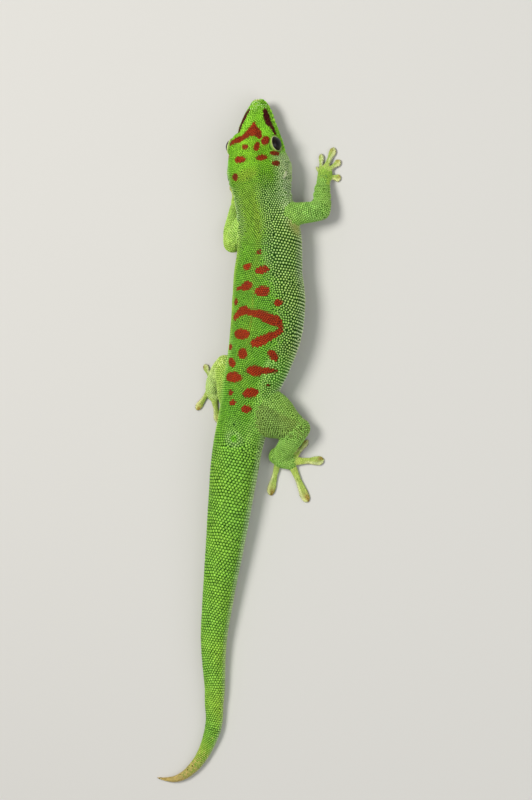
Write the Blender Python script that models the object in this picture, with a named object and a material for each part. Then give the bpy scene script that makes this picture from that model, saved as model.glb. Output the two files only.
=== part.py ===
"""Giant day gecko, a still life-size model lying on its belly, head towards +Y, back up.

Every size in the tables is in millimetres and is turned into metres when a mesh is made. The body is
one long loft from the snout to the tail tip, divided into lengths that meet face to face. Each limb
segment, hand, foot and digit is a loft of its own, whose root is cut to fit what it grows from.
"""

import math

import bmesh
import bpy
import numpy as np
from mathutils import Matrix, Vector

MM = 0.001
GAP = 0.3  # space kept between pieces that meet
FLOOR = 0.0  # all that lies below this level is pressed flat onto it
FRAME_SHIFT = (7.6, 16.8)  # moves the body so that the middle of its outline is the origin

# Body stations: place of the middle line (x, y), half width, top, level of the greatest width, bottom
BODY = (
    (-0.1, 111.0, 0.6, 6.3, 5.5, 5.01),
    (-0.1, 110.6, 1.7, 7.4, 5.5, 4.21),
    (0.0, 109.6, 2.9, 8.2, 5.5, 3.62),
    (0.1, 108.3, 3.8, 8.9, 5.6, 3.33),
    (0.1, 106.2, 4.95, 9.8, 5.7, 3.04),
    (-0.1, 102.8, 6.35, 11.0, 5.8, 2.77),
    (-0.1, 100.2, 7.5, 12.0, 6.0, 2.58),
    (0.2, 97.6, 8.4, 13.0, 6.3, 2.5),
    (0.3, 94.7, 9.6, 14.1, 6.6, 2.32),
    (0.1, 91.4, 10.8, 15.0, 7.0, 2.25),
    (0.4, 87.9, 11.7, 15.5, 7.4, 2.17),
    (1.3, 83.5, 12.4, 15.7, 7.6, 2.21),
    (2.0, 79.9, 12.2, 15.4, 7.6, 2.35),
    (2.4, 76.3, 11.4, 14.9, 7.5, 2.4),
    (3.1, 72.3, 11.1, 14.6, 7.4, 1.92),
    (4.3, 67.3, 11.4, 14.8, 7.2, 1.17),
    (5.3, 60.4, 12.0, 15.4, 7.2, 0.22),
    (5.2, 53.4, 12.4, 16.1, 7.3, -0.2),
    (4.75, 45.5, 13.15, 16.9, 7.6, -0.3),
    (5.05, 37.6, 13.95, 17.5, 7.8, -0.3),
    (4.65, 29.7, 13.95, 17.7, 7.9, -0.3),
    (2.85, 20.8, 13.25, 17.4, 7.8, -0.3),
    (0.65, 13.9, 12.15, 16.8, 7.6, -0.3),
    (-2.0, 6.9, 11.0, 16.0, 7.3, -0.3),
    (-3.9, -0.5, 10.2, 15.3, 7.1, -0.3),
    (-5.9, -8.0, 9.7, 14.8, 6.9, -0.3),
    (-8.0, -15.5, 9.3, 14.3, 6.7, -0.3),
    (-9.85, -25.0, 9.1, 13.7, 6.4, -0.3),
    (-11.8, -37.0, 8.4, 12.6, 5.9, -0.25),
    (-13.9, -50.1, 7.6, 11.3, 5.3, -0.25),
    (-16.3, -64.2, 6.6, 9.9, 4.7, -0.25),
    (-18.5, -77.6, 5.75, 8.6, 4.1, -0.2),
    (-20.1, -89.6, 5.05, 7.4, 3.5, -0.2),
    (-20.3, -98.8, 4.5, 6.5, 3.1, -0.2),
    (-20.2, -107.7, 4.0, 5.6, 2.6, -0.2),
    (-20.6, -114.0, 3.7, 4.9, 2.3, -0.2),
    (-20.7, -119.7, 3.4, 4.4, 2.0, -0.2),
    (-21.5, -123.6, 3.2, 4.1, 1.9, -0.2),
    (-22.9, -127.3, 2.9, 3.7, 1.7, -0.2),
    (-24.7, -131.1, 2.6, 3.3, 1.5, -0.2),
    (-27.2, -135.1, 2.3, 3.0, 1.4, -0.2),
    (-30.8, -139.1, 2.0, 2.7, 1.2, -0.15),
    (-34.0, -141.6, 1.7, 2.4, 1.1, -0.15),
    (-38.1, -143.4, 1.3, 1.9, 0.9, -0.1),
    (-42.4, -143.9, 0.8, 1.3, 0.6, -0.05),
    (-44.8, -143.8, 0.5, 0.8, 0.4, -0.02),
    (-46.2, -143.7, 0.2, 0.4, 0.2, -0.01),
)
# Roundness of the back and the belly: 2 is an ellipse, and more is squarer
BACK_POWER = 2.15
BELLY_POWER = 2.3
BODY_SIDES = 24

# Lengths of the body by the y of the middle line where each one starts, and its rings
SEGMENTS = (
    ("neck", 77.5, 70.6, 4),
    ("torso", 70.6, 5.4, 18),
    ("pelvis", 5.4, -13.6, 9),
    ("tail_base", -13.6, -58.0, 11),
    ("tail_middle", -58.0, -104.0, 11),
    ("tail_tip", -104.0, None, 14),
)
HEAD_START = 77.5  # the head runs from here to the snout
HEAD_RINGS = 29
HEAD_SIDES = 40
# Melting of the swellings into the head
BLEND_VOXEL = 0.32
BLEND_SMOOTHING = 3
BLEND_KEEP = 0.062  # share of the melted faces that stays

# Eye: ball and socket, seen from the head's middle line
EYE_RADIUS = 3.1
EYE_OUT = 8.0
EYE_SHIFT = -0.45  # the eyes' own middle line, from that of the body
EYE_Y = 93.3
EYE_Z = 9.7
EYE_LIFT = 7.0  # degrees that the eye looks up
EYE_FORWARD = 14.0  # degrees that it looks forward
LID_RING = 2.98
LID_THICK = 0.44
LID_AT = 1.66
ORBIT_RADII = (4.7, 4.3, 3.9)  # the swelling that the eye sits in: along, up and out
ORBIT_SINK = 1.42
BROW_RADII = (3.2, 5.2, 2.5)
BROW_AT = (5.6, 93.0, 11.3)
CHEEK_RADII = (3.2, 6.4, 4.4)
CHEEK_AT = (9.5, 84.2, 7.6)

# Mouth line from the front of the snout to its corner, as (y, z), then down through the throat
MOUTH = ((113.0, 5.3), (110.0, 5.2), (104.4, 5.0), (98.2, 4.8), (92.2, 4.9), (88.4, 5.4), (86.6, 6.0))
THROAT = ((85.6, 5.2), (85.2, 3.4), (85.1, -2.0))
LIP_RADIUS = 0.6
LIP_LIFT = 0.45
LIP_FRONT = 110.7

NOSTRIL_AT = (3.1, 109.2, 7.3)
NOSTRIL_RADII = (0.8, 0.5, 0.45)
EAR_AT = (12.3, 82.2, 8.6)
EAR_RADII = (1.3, 1.5, 0.7)
EAR_TILT = -36.0  # degrees; the front end of the ear is the lower one

# Limb stations from root to end: x, y, z, half width, half height
LIMBS = {
    "upper_arm_right": (
        (9.0, 67.4, 8.0, 5.6, 5.0),
        (13.5, 67.6, 8.0, 4.8, 4.5),
        (17.5, 68.0, 7.4, 4.1, 3.9),
        (21.5, 68.4, 6.4, 3.8, 3.6),
        (25.2, 68.8, 5.4, 3.5, 3.4),
    ),
    "forearm_right": (
        (25.2, 68.8, 5.3, 3.5, 3.4),
        (25.2, 72.4, 4.6, 3.6, 3.2),
        (24.8, 76.2, 3.6, 3.2, 2.7),
        (24.8, 79.8, 2.6, 2.6, 2.1),
    ),
    "hand_right": (
        (24.8, 79.0, 2.4, 2.5, 1.9),
        (24.9, 81.8, 1.7, 2.9, 1.6),
        (25.3, 84.0, 1.1, 2.5, 1.1),
    ),
    "upper_arm_left": (
        (-2.0, 66.0, 8.0, 5.2, 4.8),
        (-5.6, 63.2, 7.6, 4.6, 4.3),
        (-8.8, 60.2, 6.5, 3.9, 3.7),
        (-11.2, 58.1, 5.3, 3.5, 3.4),
    ),
    "forearm_left": (
        (-11.2, 58.1, 5.2, 3.5, 3.4),
        (-11.6, 62.5, 4.7, 3.4, 3.2),
        (-11.3, 67.5, 3.6, 2.9, 2.7),
        (-11.0, 72.0, 2.6, 2.5, 2.1),
    ),
    "hand_left": (
        (-11.0, 71.2, 2.3, 2.4, 1.9),
        (-10.8, 74.0, 1.7, 2.8, 1.6),
        (-10.4, 76.4, 1.1, 2.4, 1.1),
    ),
    "thigh_right": (
        (-1.5, -3.2, 7.2, 8.4, 6.4),
        (4.2, -4.5, 7.4, 9.0, 6.1),
        (8.8, -6.8, 7.0, 8.1, 5.3),
        (12.9, -8.9, 6.4, 5.9, 4.6),
        (16.6, -10.4, 5.7, 4.0, 4.0),
    ),
    "shank_right": (
        (16.6, -10.4, 5.6, 4.0, 4.0),
        (13.6, -13.8, 5.0, 4.0, 3.8),
        (10.4, -17.2, 3.9, 3.7, 3.2),
        (7.6, -20.2, 2.9, 3.3, 2.5),
    ),
    "foot_right": (
        (5.0, -20.4, 2.5, 3.0, 2.3),
        (8.6, -22.0, 2.0, 3.4, 1.9),
        (12.0, -22.6, 1.3, 2.9, 1.3),
    ),
    "thigh_left": (
        (-5.0, -3.4, 7.2, 6.8, 6.2),
        (-9.6, 1.2, 7.2, 6.0, 5.6),
        (-12.2, 6.2, 6.8, 4.6, 4.7),
        (-13.4, 10.4, 6.3, 4.0, 4.1),
        (-14.1, 13.3, 5.8, 3.5, 3.6),
    ),
    "shank_left": (
        (-14.1, 13.3, 5.7, 3.5, 3.6),
        (-16.6, 11.0, 5.1, 3.4, 3.4),
        (-18.9, 8.0, 4.0, 3.1, 3.0),
        (-20.4, 4.8, 2.9, 2.7, 2.4),
    ),
    "foot_left": (
        (-21.3, 7.2, 2.3, 2.5, 2.1),
        (-21.5, 4.0, 1.9, 2.9, 1.8),
        (-20.9, 1.0, 1.3, 2.6, 1.2),
    ),
}
LIMB_SIDES = 14
LIMB_RINGS = 7
HAND_RINGS = 5
CAP_RINGS = 2

# Digits from the innermost to the outermost: root (x, y), tip (x, y), half width of the pad
DIGITS = {
    "finger_right": (
        ((22.9, 83.0), (21.0, 85.6), 0.7),
        ((23.2, 84.2), (23.1, 89.9), 1.15),
        ((25.2, 85.0), (28.2, 91.9), 1.5),
        ((26.2, 83.8), (30.6, 87.1), 1.4),
        ((26.6, 81.4), (30.6, 80.8), 1.45),
    ),
    "finger_left": (
        ((-8.6, 75.2), (-6.0, 76.6), 0.7),
        ((-9.0, 76.6), (-6.2, 81.0), 1.05),
        ((-10.0, 77.4), (-9.2, 84.6), 1.35),
        ((-11.2, 77.2), (-12.2, 84.0), 1.35),
        ((-12.4, 75.4), (-14.2, 80.4), 1.3),
    ),
    "toe_right": (
        ((12.0, -20.2), (14.8, -17.4), 0.8),
        ((13.0, -20.8), (17.5, -14.9), 1.15),
        ((13.4, -22.5), (23.9, -22.2), 1.8),
        ((11.4, -24.2), (17.3, -37.5), 1.9),
        ((5.6, -22.8), (1.8, -35.2), 1.75),
    ),
    "toe_left": (
        ((-20.2, 8.2), (-17.2, 10.0), 0.75),
        ((-21.0, 9.0), (-19.4, 14.2), 1.1),
        ((-22.5, 8.0), (-25.6, 13.2), 1.35),
        ((-23.2, 3.8), (-29.2, -3.6), 1.4),
        ((-21.3, 0.2), (-20.1, -8.3), 1.5),
    ),
}
DIGIT_SIDES = 10
DIGIT_RINGS = 9
# Share of the digit's length, half width as a share of the pad's, height of the middle, half height
DIGIT_PROFILE = (
    (0.00, 0.86, 1.15, 0.90),
    (0.22, 0.68, 0.95, 0.76),
    (0.42, 0.64, 0.76, 0.66),
    (0.62, 0.84, 0.60, 0.60),
    (0.80, 1.00, 0.52, 0.58),
    (0.92, 0.84, 0.48, 0.54),
    (0.97, 0.60, 0.44, 0.48),
)
THUMB_PROFILE = (
    (0.00, 1.00, 1.00, 0.80),
    (0.45, 0.90, 0.72, 0.70),
    (0.78, 0.85, 0.55, 0.60),
)

SKIN_COLOUR = (0.13, 0.42, 0.03, 1.0)
TOE_COLOUR = (0.42, 0.45, 0.06, 1.0)
EYE_COLOUR = (0.012, 0.008, 0.008, 1.0)


def clear_scene():
    for old in list(bpy.data.objects):
        bpy.data.objects.remove(old)


def material(name, colour, roughness):
    made = bpy.data.materials.new(name)
    made.use_nodes = True
    shader = made.node_tree.nodes["Principled BSDF"]
    shader.inputs["Base Color"].default_value = colour
    shader.inputs["Roughness"].default_value = roughness
    shader.inputs["Metallic"].default_value = 0.0
    return made


def smooth(table, places, at):
    """The rows of a table as a smooth curve: its values at each of the places asked for."""
    table, at = np.array(table, float), np.asarray(at, float)
    slopes = np.gradient(table, places, axis=0)
    k = np.clip(np.searchsorted(places, at, side="right") - 1, 0, len(places) - 2)
    span = (places[k + 1] - places[k])[:, None]
    t = ((at - places[k])[:, None]) / span
    return (
        (2 * t**3 - 3 * t**2 + 1) * table[k]
        + (t**3 - 2 * t**2 + t) * span * slopes[k]
        + (3 * t**2 - 2 * t**3) * table[k + 1]
        + (t**3 - t**2) * span * slopes[k + 1]
    )


def lengths_along(points):
    steps = np.linalg.norm(np.diff(points, axis=0), axis=1)
    return np.concatenate([[0.0], np.cumsum(steps)])


BODY_TABLE = np.array(BODY, float)
BODY_LENGTH = lengths_along(BODY_TABLE[:, :2])


def along_at(y):
    """How far along the body its middle line reaches this y."""
    return float(np.interp(-y, -BODY_TABLE[:, 1], BODY_LENGTH))


def body_rings(places, sides, grow=0.0):
    """Upright rings round the body at these lengths along it."""
    sections = smooth(BODY_TABLE, BODY_LENGTH, places)
    step = 0.05
    ahead = smooth(BODY_TABLE, BODY_LENGTH, np.minimum(places + step, BODY_LENGTH[-1]))
    behind = smooth(BODY_TABLE, BODY_LENGTH, np.maximum(places - step, 0.0))
    tangents = ahead[:, :2] - behind[:, :2]
    tangents /= np.linalg.norm(tangents, axis=1)[:, None]
    angles = np.linspace(0, 2 * math.pi, sides, endpoint=False)
    cosine, sine = np.cos(angles), np.sin(angles)
    power = np.where(sine >= 0, BACK_POWER, BELLY_POWER)
    out = np.sign(cosine) * np.abs(cosine) ** (2 / power)
    rise = np.abs(sine) ** (2 / power)
    rings = []
    for section, tangent in zip(sections, tangents):
        x, y, wide, top, level, bottom = section
        side = np.array([-tangent[1], tangent[0]])
        height = np.where(sine >= 0, top + grow - level, bottom - grow - level)
        ring = np.empty((sides, 3))
        ring[:, :2] = np.array([x, y]) + np.outer(out * (max(wide, 0.2) + grow), side)
        ring[:, 2] = level + rise * height
        rings.append(ring)
    return rings


def limb_rings(stations, sides, count, grow=0.0):
    """Rings round a limb, with rounded ends."""
    table = np.array(stations, float)
    places = lengths_along(table[:, :3])
    at = np.linspace(0, places[-1], count)
    rows = smooth(table, places, at)
    tangents = np.gradient(rows[:, :3], at, axis=0)
    tangents /= np.linalg.norm(tangents, axis=1)[:, None]
    angles = np.linspace(0, 2 * math.pi, sides, endpoint=False)
    flat = [(rows[i], tangents[i], 0.0, 1.0) for i in range(count)]
    ends = [math.pi / 2 * k / (CAP_RINGS + 1) for k in range(1, CAP_RINGS + 1)]
    first = [(rows[0], tangents[0], -math.sin(a), math.cos(a)) for a in reversed(ends)]
    last = [(rows[-1], tangents[-1], math.sin(a), math.cos(a)) for a in ends]
    rings = []
    for row, tangent, push, share in first + flat + last:
        side = np.cross(tangent, [0.0, 0.0, 1.0])
        side /= np.linalg.norm(side)
        up = np.cross(side, tangent)
        wide, high = row[3] + grow, row[4] + grow
        centre = row[:3] + tangent * push * min(wide, high)
        rings.append(
            centre
            + np.outer(np.cos(angles) * wide * share, side)
            + np.outer(np.sin(angles) * high * share, up)
        )
    return rings


def digit_stations(root, tip, pad, profile):
    """Stations of a digit: narrow behind its pad, and flat under it."""
    root, tip = np.array(root), np.array(tip)
    return [
        (*(root + (tip - root) * share), height, wide * pad, thick)
        for share, wide, height, thick in profile
    ]


def loft(name, rings, look):
    """A closed mesh through the rings, in metres, pressed flat where it would pass below the floor."""
    sides = len(rings[0])
    points = np.concatenate(rings)
    points[:, 0] += FRAME_SHIFT[0]
    points[:, 1] += FRAME_SHIFT[1]
    points[:, 2] = np.maximum(points[:, 2], FLOOR)
    faces = []
    for i in range(len(rings) - 1):
        for j in range(sides):
            a, b = i * sides + j, i * sides + (j + 1) % sides
            faces.append((a, b, b + sides, a + sides))
    faces.append(tuple(reversed(range(sides))))
    faces.append(tuple(range(len(points) - sides, len(points))))
    return add_object(name, points * MM, faces, look)


def add_object(name, points, faces, look):
    mesh = bpy.data.meshes.new(name)
    mesh.from_pydata([tuple(p) for p in points], [], faces)
    shape = bmesh.new()
    shape.from_mesh(mesh)
    bmesh.ops.recalc_face_normals(shape, faces=shape.faces)
    shape.to_mesh(mesh)
    shape.free()
    made = bpy.data.objects.new(name, mesh)
    bpy.context.scene.collection.objects.link(made)
    if look:
        mesh.materials.append(look)
    return made


def ellipsoid(name, centre, radii, turn=None, segments=20, rings=12, look=None):
    """A closed ellipsoid in the body's frame, turned by a matrix about its centre."""
    shape = bmesh.new()
    bmesh.ops.create_uvsphere(shape, u_segments=segments, v_segments=rings, radius=1.0)
    place = Matrix.Translation(shifted(centre)) @ (turn or Matrix()) @ Matrix.Diagonal((*radii, 1.0))
    shape.transform(Matrix.Scale(MM, 4) @ place)
    mesh = bpy.data.meshes.new(name)
    shape.to_mesh(mesh)
    shape.free()
    made = bpy.data.objects.new(name, mesh)
    bpy.context.scene.collection.objects.link(made)
    if look:
        mesh.materials.append(look)
    return made


def shifted(point):
    return Vector((point[0] + FRAME_SHIFT[0], point[1] + FRAME_SHIFT[1], point[2]))


def boolean(target, cutters, operation):
    """Cuts each cutter from the target, or keeps what is inside it, and removes the cutters."""
    for cutter in cutters:
        change = target.modifiers.new(operation.lower(), "BOOLEAN")
        change.operation = operation
        change.solver = "MANIFOLD"  # the exact solver loses some of these closed pieces
        change.object = cutter
        apply_modifiers(target)
        bpy.data.objects.remove(cutter)


def blend(target, others):
    """Melts the target and the others into one smooth skin, and thins its faces."""
    shape = bmesh.new()
    for piece in [target] + others:
        shape.from_mesh(piece.data)
    shape.to_mesh(target.data)
    shape.free()
    for piece in others:
        bpy.data.objects.remove(piece)
    change = target.modifiers.new("melt", "REMESH")
    change.mode = "VOXEL"
    change.voxel_size = BLEND_VOXEL * MM
    change = target.modifiers.new("even", "SMOOTH")
    change.factor = 0.5
    change.iterations = BLEND_SMOOTHING
    change = target.modifiers.new("thin", "DECIMATE")
    change.ratio = BLEND_KEEP
    apply_modifiers(target)


def apply_modifiers(target):
    graph = bpy.context.evaluated_depsgraph_get()
    mesh = bpy.data.meshes.new_from_object(target.evaluated_get(graph))
    target.modifiers.clear()
    old, target.data = target.data, mesh
    mesh.name = target.name
    bpy.data.meshes.remove(old)


def keep_largest(target):
    """Drops every loose scrap, so that the node is one closed body."""
    shape = bmesh.new()
    shape.from_mesh(target.data)
    bmesh.ops.remove_doubles(shape, verts=shape.verts, dist=1e-6)
    left, groups = set(shape.verts), []
    while left:
        start = left.pop()
        group, edge = {start}, [start]
        while edge:
            for link in edge.pop().link_edges:
                for vert in link.verts:
                    if vert in left:
                        left.remove(vert)
                        group.add(vert)
                        edge.append(vert)
        groups.append(group)
    groups.sort(key=len)
    for group in groups[:-1]:
        bmesh.ops.delete(shape, geom=list(group), context="VERTS")
    shape.to_mesh(target.data)
    shape.free()


def finish_node(target):
    keep_largest(target)
    target.data.shade_smooth()
    target.data.set_sharp_from_angle(angle=math.radians(50))


def middle_x(y):
    """x of the body's middle line at this y."""
    return float(np.interp(-y, -BODY_TABLE[:, 1], BODY_TABLE[:, 0]))


def eye_matrix(side):
    """Turns +Z to the way this eye looks."""
    lift, forward = math.radians(EYE_LIFT), math.radians(EYE_FORWARD)
    out = Vector((
        side * math.cos(lift) * math.cos(forward),
        math.cos(lift) * math.sin(forward),
        math.sin(lift),
    ))
    return out.to_track_quat("Z", "Y").to_matrix().to_4x4()


def eye_centre(side):
    return (middle_x(EYE_Y) + EYE_SHIFT + side * EYE_OUT, EYE_Y, EYE_Z)


def orbit(side):
    """The swelling round the eye, which carries the rim."""
    turn = eye_matrix(side)
    out = turn @ Vector((0.0, 0.0, 1.0))
    centre = Vector(eye_centre(side)) - out * ORBIT_SINK
    return ellipsoid("orbit", centre, ORBIT_RADII, turn)


def lid_ring(side):
    """The swollen ring of small scales that rims the eye."""
    around, across = 24, 8
    turn = Matrix.Translation(shifted(eye_centre(side))) @ eye_matrix(side)
    points, faces = [], []
    for i in range(around):
        a = 2 * math.pi * i / around
        for j in range(across):
            b = 2 * math.pi * j / across
            reach = LID_RING + LID_THICK * math.cos(b)
            local = Vector((reach * math.cos(a), reach * math.sin(a), LID_AT + LID_THICK * math.sin(b)))
            points.append((turn @ local) * MM)
            k, m = (i + 1) % around, (j + 1) % across
            faces.append((i * across + j, k * across + j, k * across + m, i * across + m))
    return add_object("lid", points, faces, None)


def lip_tube():
    """A low swelling along the mouth line, round the front of the snout and back on both sides."""
    rings = []
    angles = np.linspace(0, 2 * math.pi, 8, endpoint=False)
    sides_y, sides_z = np.array(MOUTH[:0:-1]).T
    path = []
    for side in (-1, 1):
        part = []
        for y in np.linspace(sides_y[0], LIP_FRONT, 16):
            z = float(np.interp(y, sides_y, sides_z)) + LIP_LIFT
            part.append(surface_point(y, z, side))
        path += part if side < 0 else part[::-1]
    path = np.array(path)
    at = lengths_along(path)
    keep = np.linspace(0, at[-1], 40)
    path = np.stack([np.interp(keep, at, path[:, i]) for i in range(3)], axis=1)
    tangents = np.gradient(path, axis=0)
    for centre, tangent in zip(path, tangents):
        tangent = tangent / np.linalg.norm(tangent)
        side = np.cross(tangent, [0.0, 0.0, 1.0])
        side /= np.linalg.norm(side)
        up = np.cross(side, tangent)
        rings.append(
            centre
            + np.outer(np.cos(angles) * LIP_RADIUS * 0.6, side)
            + np.outer(np.sin(angles) * LIP_RADIUS, up)
        )
    return loft("lips", rings, None)


def surface_point(y, z, side):
    """The point of the body's surface at this y and height, on one side of it."""
    x, _, wide, top, level, bottom = smooth(BODY_TABLE, BODY_LENGTH, [along_at(y)])[0]
    if z >= level:
        share, power = (z - level) / (top - level), BACK_POWER
    else:
        share, power = (level - z) / (level - bottom), BELLY_POWER
    reach = wide * max(0.0, 1 - min(share, 1.0) ** power) ** (1 / power)
    return (x + side * reach, y, z)


def jaw_block(name, grow):
    """All that lies below the mouth line and before the throat, grown by a gap."""
    outline = [(y - grow, z + grow) for y, z in MOUTH]
    outline += [(y - grow, z) for y, z in THROAT]
    outline += [(114.0, -2.0)]
    half = 20.0
    points = []
    for x in (-half, half):
        for y, z in outline:
            place = shifted((x, y, z))
            points.append(place * MM)
    n = len(outline)
    faces = [tuple(range(n)), tuple(reversed(range(n, 2 * n)))]
    faces += [(i, (i + 1) % n, (i + 1) % n + n, i + n) for i in range(n)]
    return add_object(name, points, faces, None)


def back_block():
    """All that lies behind the back face of the head."""
    length = along_at(HEAD_START) - GAP / 2
    here, ahead = smooth(BODY_TABLE, BODY_LENGTH, np.array([length, length + 0.05]))
    turn = math.atan2(ahead[1] - here[1], ahead[0] - here[0])
    shape = bmesh.new()
    bmesh.ops.create_cube(shape, size=40.0)
    place = Matrix.Translation(shifted((here[0], here[1], 0.0))) @ Matrix.Rotation(turn, 4, "Z")
    shape.transform(Matrix.Scale(MM, 4) @ place @ Matrix.Translation((20.0, 0.0, 0.0)))
    mesh = bpy.data.meshes.new("back_block")
    shape.to_mesh(mesh)
    shape.free()
    made = bpy.data.objects.new("back_block", mesh)
    bpy.context.scene.collection.objects.link(made)
    return made


def build_head(skin, eye_look):
    """The head with its lids, lips, nostrils and ear cups, its lower jaw, and the eyes."""
    places = np.concatenate([
        BODY_LENGTH[:4],
        np.linspace(BODY_LENGTH[4], along_at(HEAD_START - 2.0), HEAD_RINGS - 4),
    ])
    head = loft("head", body_rings(places, HEAD_SIDES), skin)
    grown = []
    for side in (-1, 1):
        for radii, at in ((BROW_RADII, BROW_AT), (CHEEK_RADII, CHEEK_AT)):
            x, y, z = at
            grown.append(ellipsoid("swelling", (middle_x(y) + side * x, y, z), radii))
        grown.append(orbit(side))
        grown.append(lid_ring(side))
    grown.append(lip_tube())
    blend(head, grown)
    hollows = []
    for side in (-1, 1):
        hollows.append(ellipsoid(
            "socket", eye_centre(side), (EYE_RADIUS + GAP,) * 3, eye_matrix(side), 24, 14
        ))
        for radii, at, tilt in ((NOSTRIL_RADII, NOSTRIL_AT, 0.0), (EAR_RADII, EAR_AT, EAR_TILT)):
            x, y, z = at
            turn = Matrix.Rotation(math.radians(tilt), 4, "X")
            hollows.append(ellipsoid(
                "hollow", (middle_x(y) + side * x, y, z), radii, turn, 12, 8
            ))
    hollows.append(back_block())
    boolean(head, hollows, "DIFFERENCE")
    jaw = head.copy()
    jaw.data = head.data.copy()
    jaw.name = "lower_jaw"
    bpy.context.scene.collection.objects.link(jaw)
    boolean(jaw, [jaw_block("below", 0.0)], "INTERSECT")
    boolean(head, [jaw_block("mouth", GAP)], "DIFFERENCE")
    for node in (head, jaw):
        finish_node(node)
    for side, word in ((-1, "left"), (1, "right")):
        eye = ellipsoid(
            "eye_" + word, eye_centre(side), (EYE_RADIUS,) * 3, eye_matrix(side), 20, 10, eye_look
        )
        finish_node(eye)


def build_body(skin):
    for name, start, end, count in SEGMENTS:
        first = along_at(start) + GAP / 2
        last = BODY_LENGTH[-1] if end is None else along_at(end) - GAP / 2
        finish_node(loft(name, body_rings(np.linspace(first, last, count), BODY_SIDES), skin))


def body_cutter():
    """The body grown by the gap, for cutting the roots of the limbs."""
    first, last = along_at(90.0), along_at(-45.0)
    return loft("body_cutter", body_rings(np.linspace(first, last, 52), BODY_SIDES, GAP), None)


def cutter_along(stations, sides, count):
    """A limb or digit grown by the gap, for cutting what grows from it."""
    return loft("cutter", limb_rings(stations, sides, count, GAP), None)


def build_limb(name, parent, skin):
    count = HAND_RINGS if name.startswith(("hand", "foot")) else LIMB_RINGS
    limb = loft(name, limb_rings(LIMBS[name], LIMB_SIDES, count), skin)
    if parent is None:
        cutters = [body_cutter()]
    else:
        cutters = [cutter_along(LIMBS[parent], LIMB_SIDES, LIMB_RINGS), body_cutter()]
    boolean(limb, cutters, "DIFFERENCE")
    finish_node(limb)


def build_digits(kind, look):
    parent = LIMBS[kind.replace("finger", "hand").replace("toe", "foot")]
    lower = LIMBS[kind.replace("finger", "forearm").replace("toe", "shank")]
    shapes = []
    for number, (root, tip, pad) in enumerate(DIGITS[kind], 1):
        profile = THUMB_PROFILE if number == 1 else DIGIT_PROFILE
        shapes.append(digit_stations(root, tip, pad, profile))
    for number, stations in enumerate(shapes, 1):
        digit = loft(f"{kind}_{number}", limb_rings(stations, DIGIT_SIDES, DIGIT_RINGS), look)
        cutters = [cutter_along(parent, LIMB_SIDES, HAND_RINGS), cutter_along(lower, LIMB_SIDES, LIMB_RINGS)]
        cutters += [cutter_along(earlier, DIGIT_SIDES, DIGIT_RINGS) for earlier in shapes[: number - 1]]
        boolean(digit, cutters, "DIFFERENCE")
        finish_node(digit)


def main():
    clear_scene()
    skin = material("green_skin", SKIN_COLOUR, 0.5)
    toes = material("toe_skin", TOE_COLOUR, 0.55)
    eyes = material("eye", EYE_COLOUR, 0.08)
    build_head(skin, eyes)
    build_body(skin)
    for word in ("right", "left"):
        build_limb("upper_arm_" + word, None, skin)
        build_limb("forearm_" + word, "upper_arm_" + word, skin)
        build_limb("hand_" + word, "forearm_" + word, skin)
        build_limb("thigh_" + word, None, skin)
        build_limb("shank_" + word, "thigh_" + word, skin)
        build_limb("foot_" + word, "shank_" + word, skin)
        build_digits("finger_" + word, toes)
        build_digits("toe_" + word, toes)


main()
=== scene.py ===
"""Looks of the giant day gecko: one skin over the animal, its scales, its eyes, the floor and the light.

Tables are in millimetres, in the body's own coordinates, and repeat the sizes of the solids. The skin is
melted from finer lofts of the same sizes and lies inside the solids by the depth of the scales. Every skin
point and scale knows its place along and across the part that it belongs to. Markings, scale sizes and
the unwrap of the scales' colours all follow from that place.
"""

import math

import bmesh
import bpy
import numpy as np
from mathutils import Matrix, Vector
from mathutils.bvhtree import BVHTree
from mathutils.kdtree import KDTree


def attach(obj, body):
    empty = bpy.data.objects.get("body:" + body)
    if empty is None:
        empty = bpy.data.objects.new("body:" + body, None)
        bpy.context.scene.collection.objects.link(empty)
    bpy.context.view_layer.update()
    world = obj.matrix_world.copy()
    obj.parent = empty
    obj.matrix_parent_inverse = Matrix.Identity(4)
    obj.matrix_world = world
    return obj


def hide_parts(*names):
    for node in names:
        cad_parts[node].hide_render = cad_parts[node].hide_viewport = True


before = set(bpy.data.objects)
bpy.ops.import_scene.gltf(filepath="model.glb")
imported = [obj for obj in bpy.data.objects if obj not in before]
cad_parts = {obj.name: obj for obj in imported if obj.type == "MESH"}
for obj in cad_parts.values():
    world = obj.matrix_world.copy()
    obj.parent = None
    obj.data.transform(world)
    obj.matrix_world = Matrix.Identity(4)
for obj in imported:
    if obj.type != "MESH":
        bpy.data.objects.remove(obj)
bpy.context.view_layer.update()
RANDOM = np.random.default_rng(41)

MM = 0.001
GAP = 0.3  # space kept between pieces that meet
FLOOR = 0.0  # all that lies below this level is pressed flat onto it
FRAME_SHIFT = np.array((7.6, 16.8, 0.0))  # moves the middle of the body's outline to the origin

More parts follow.
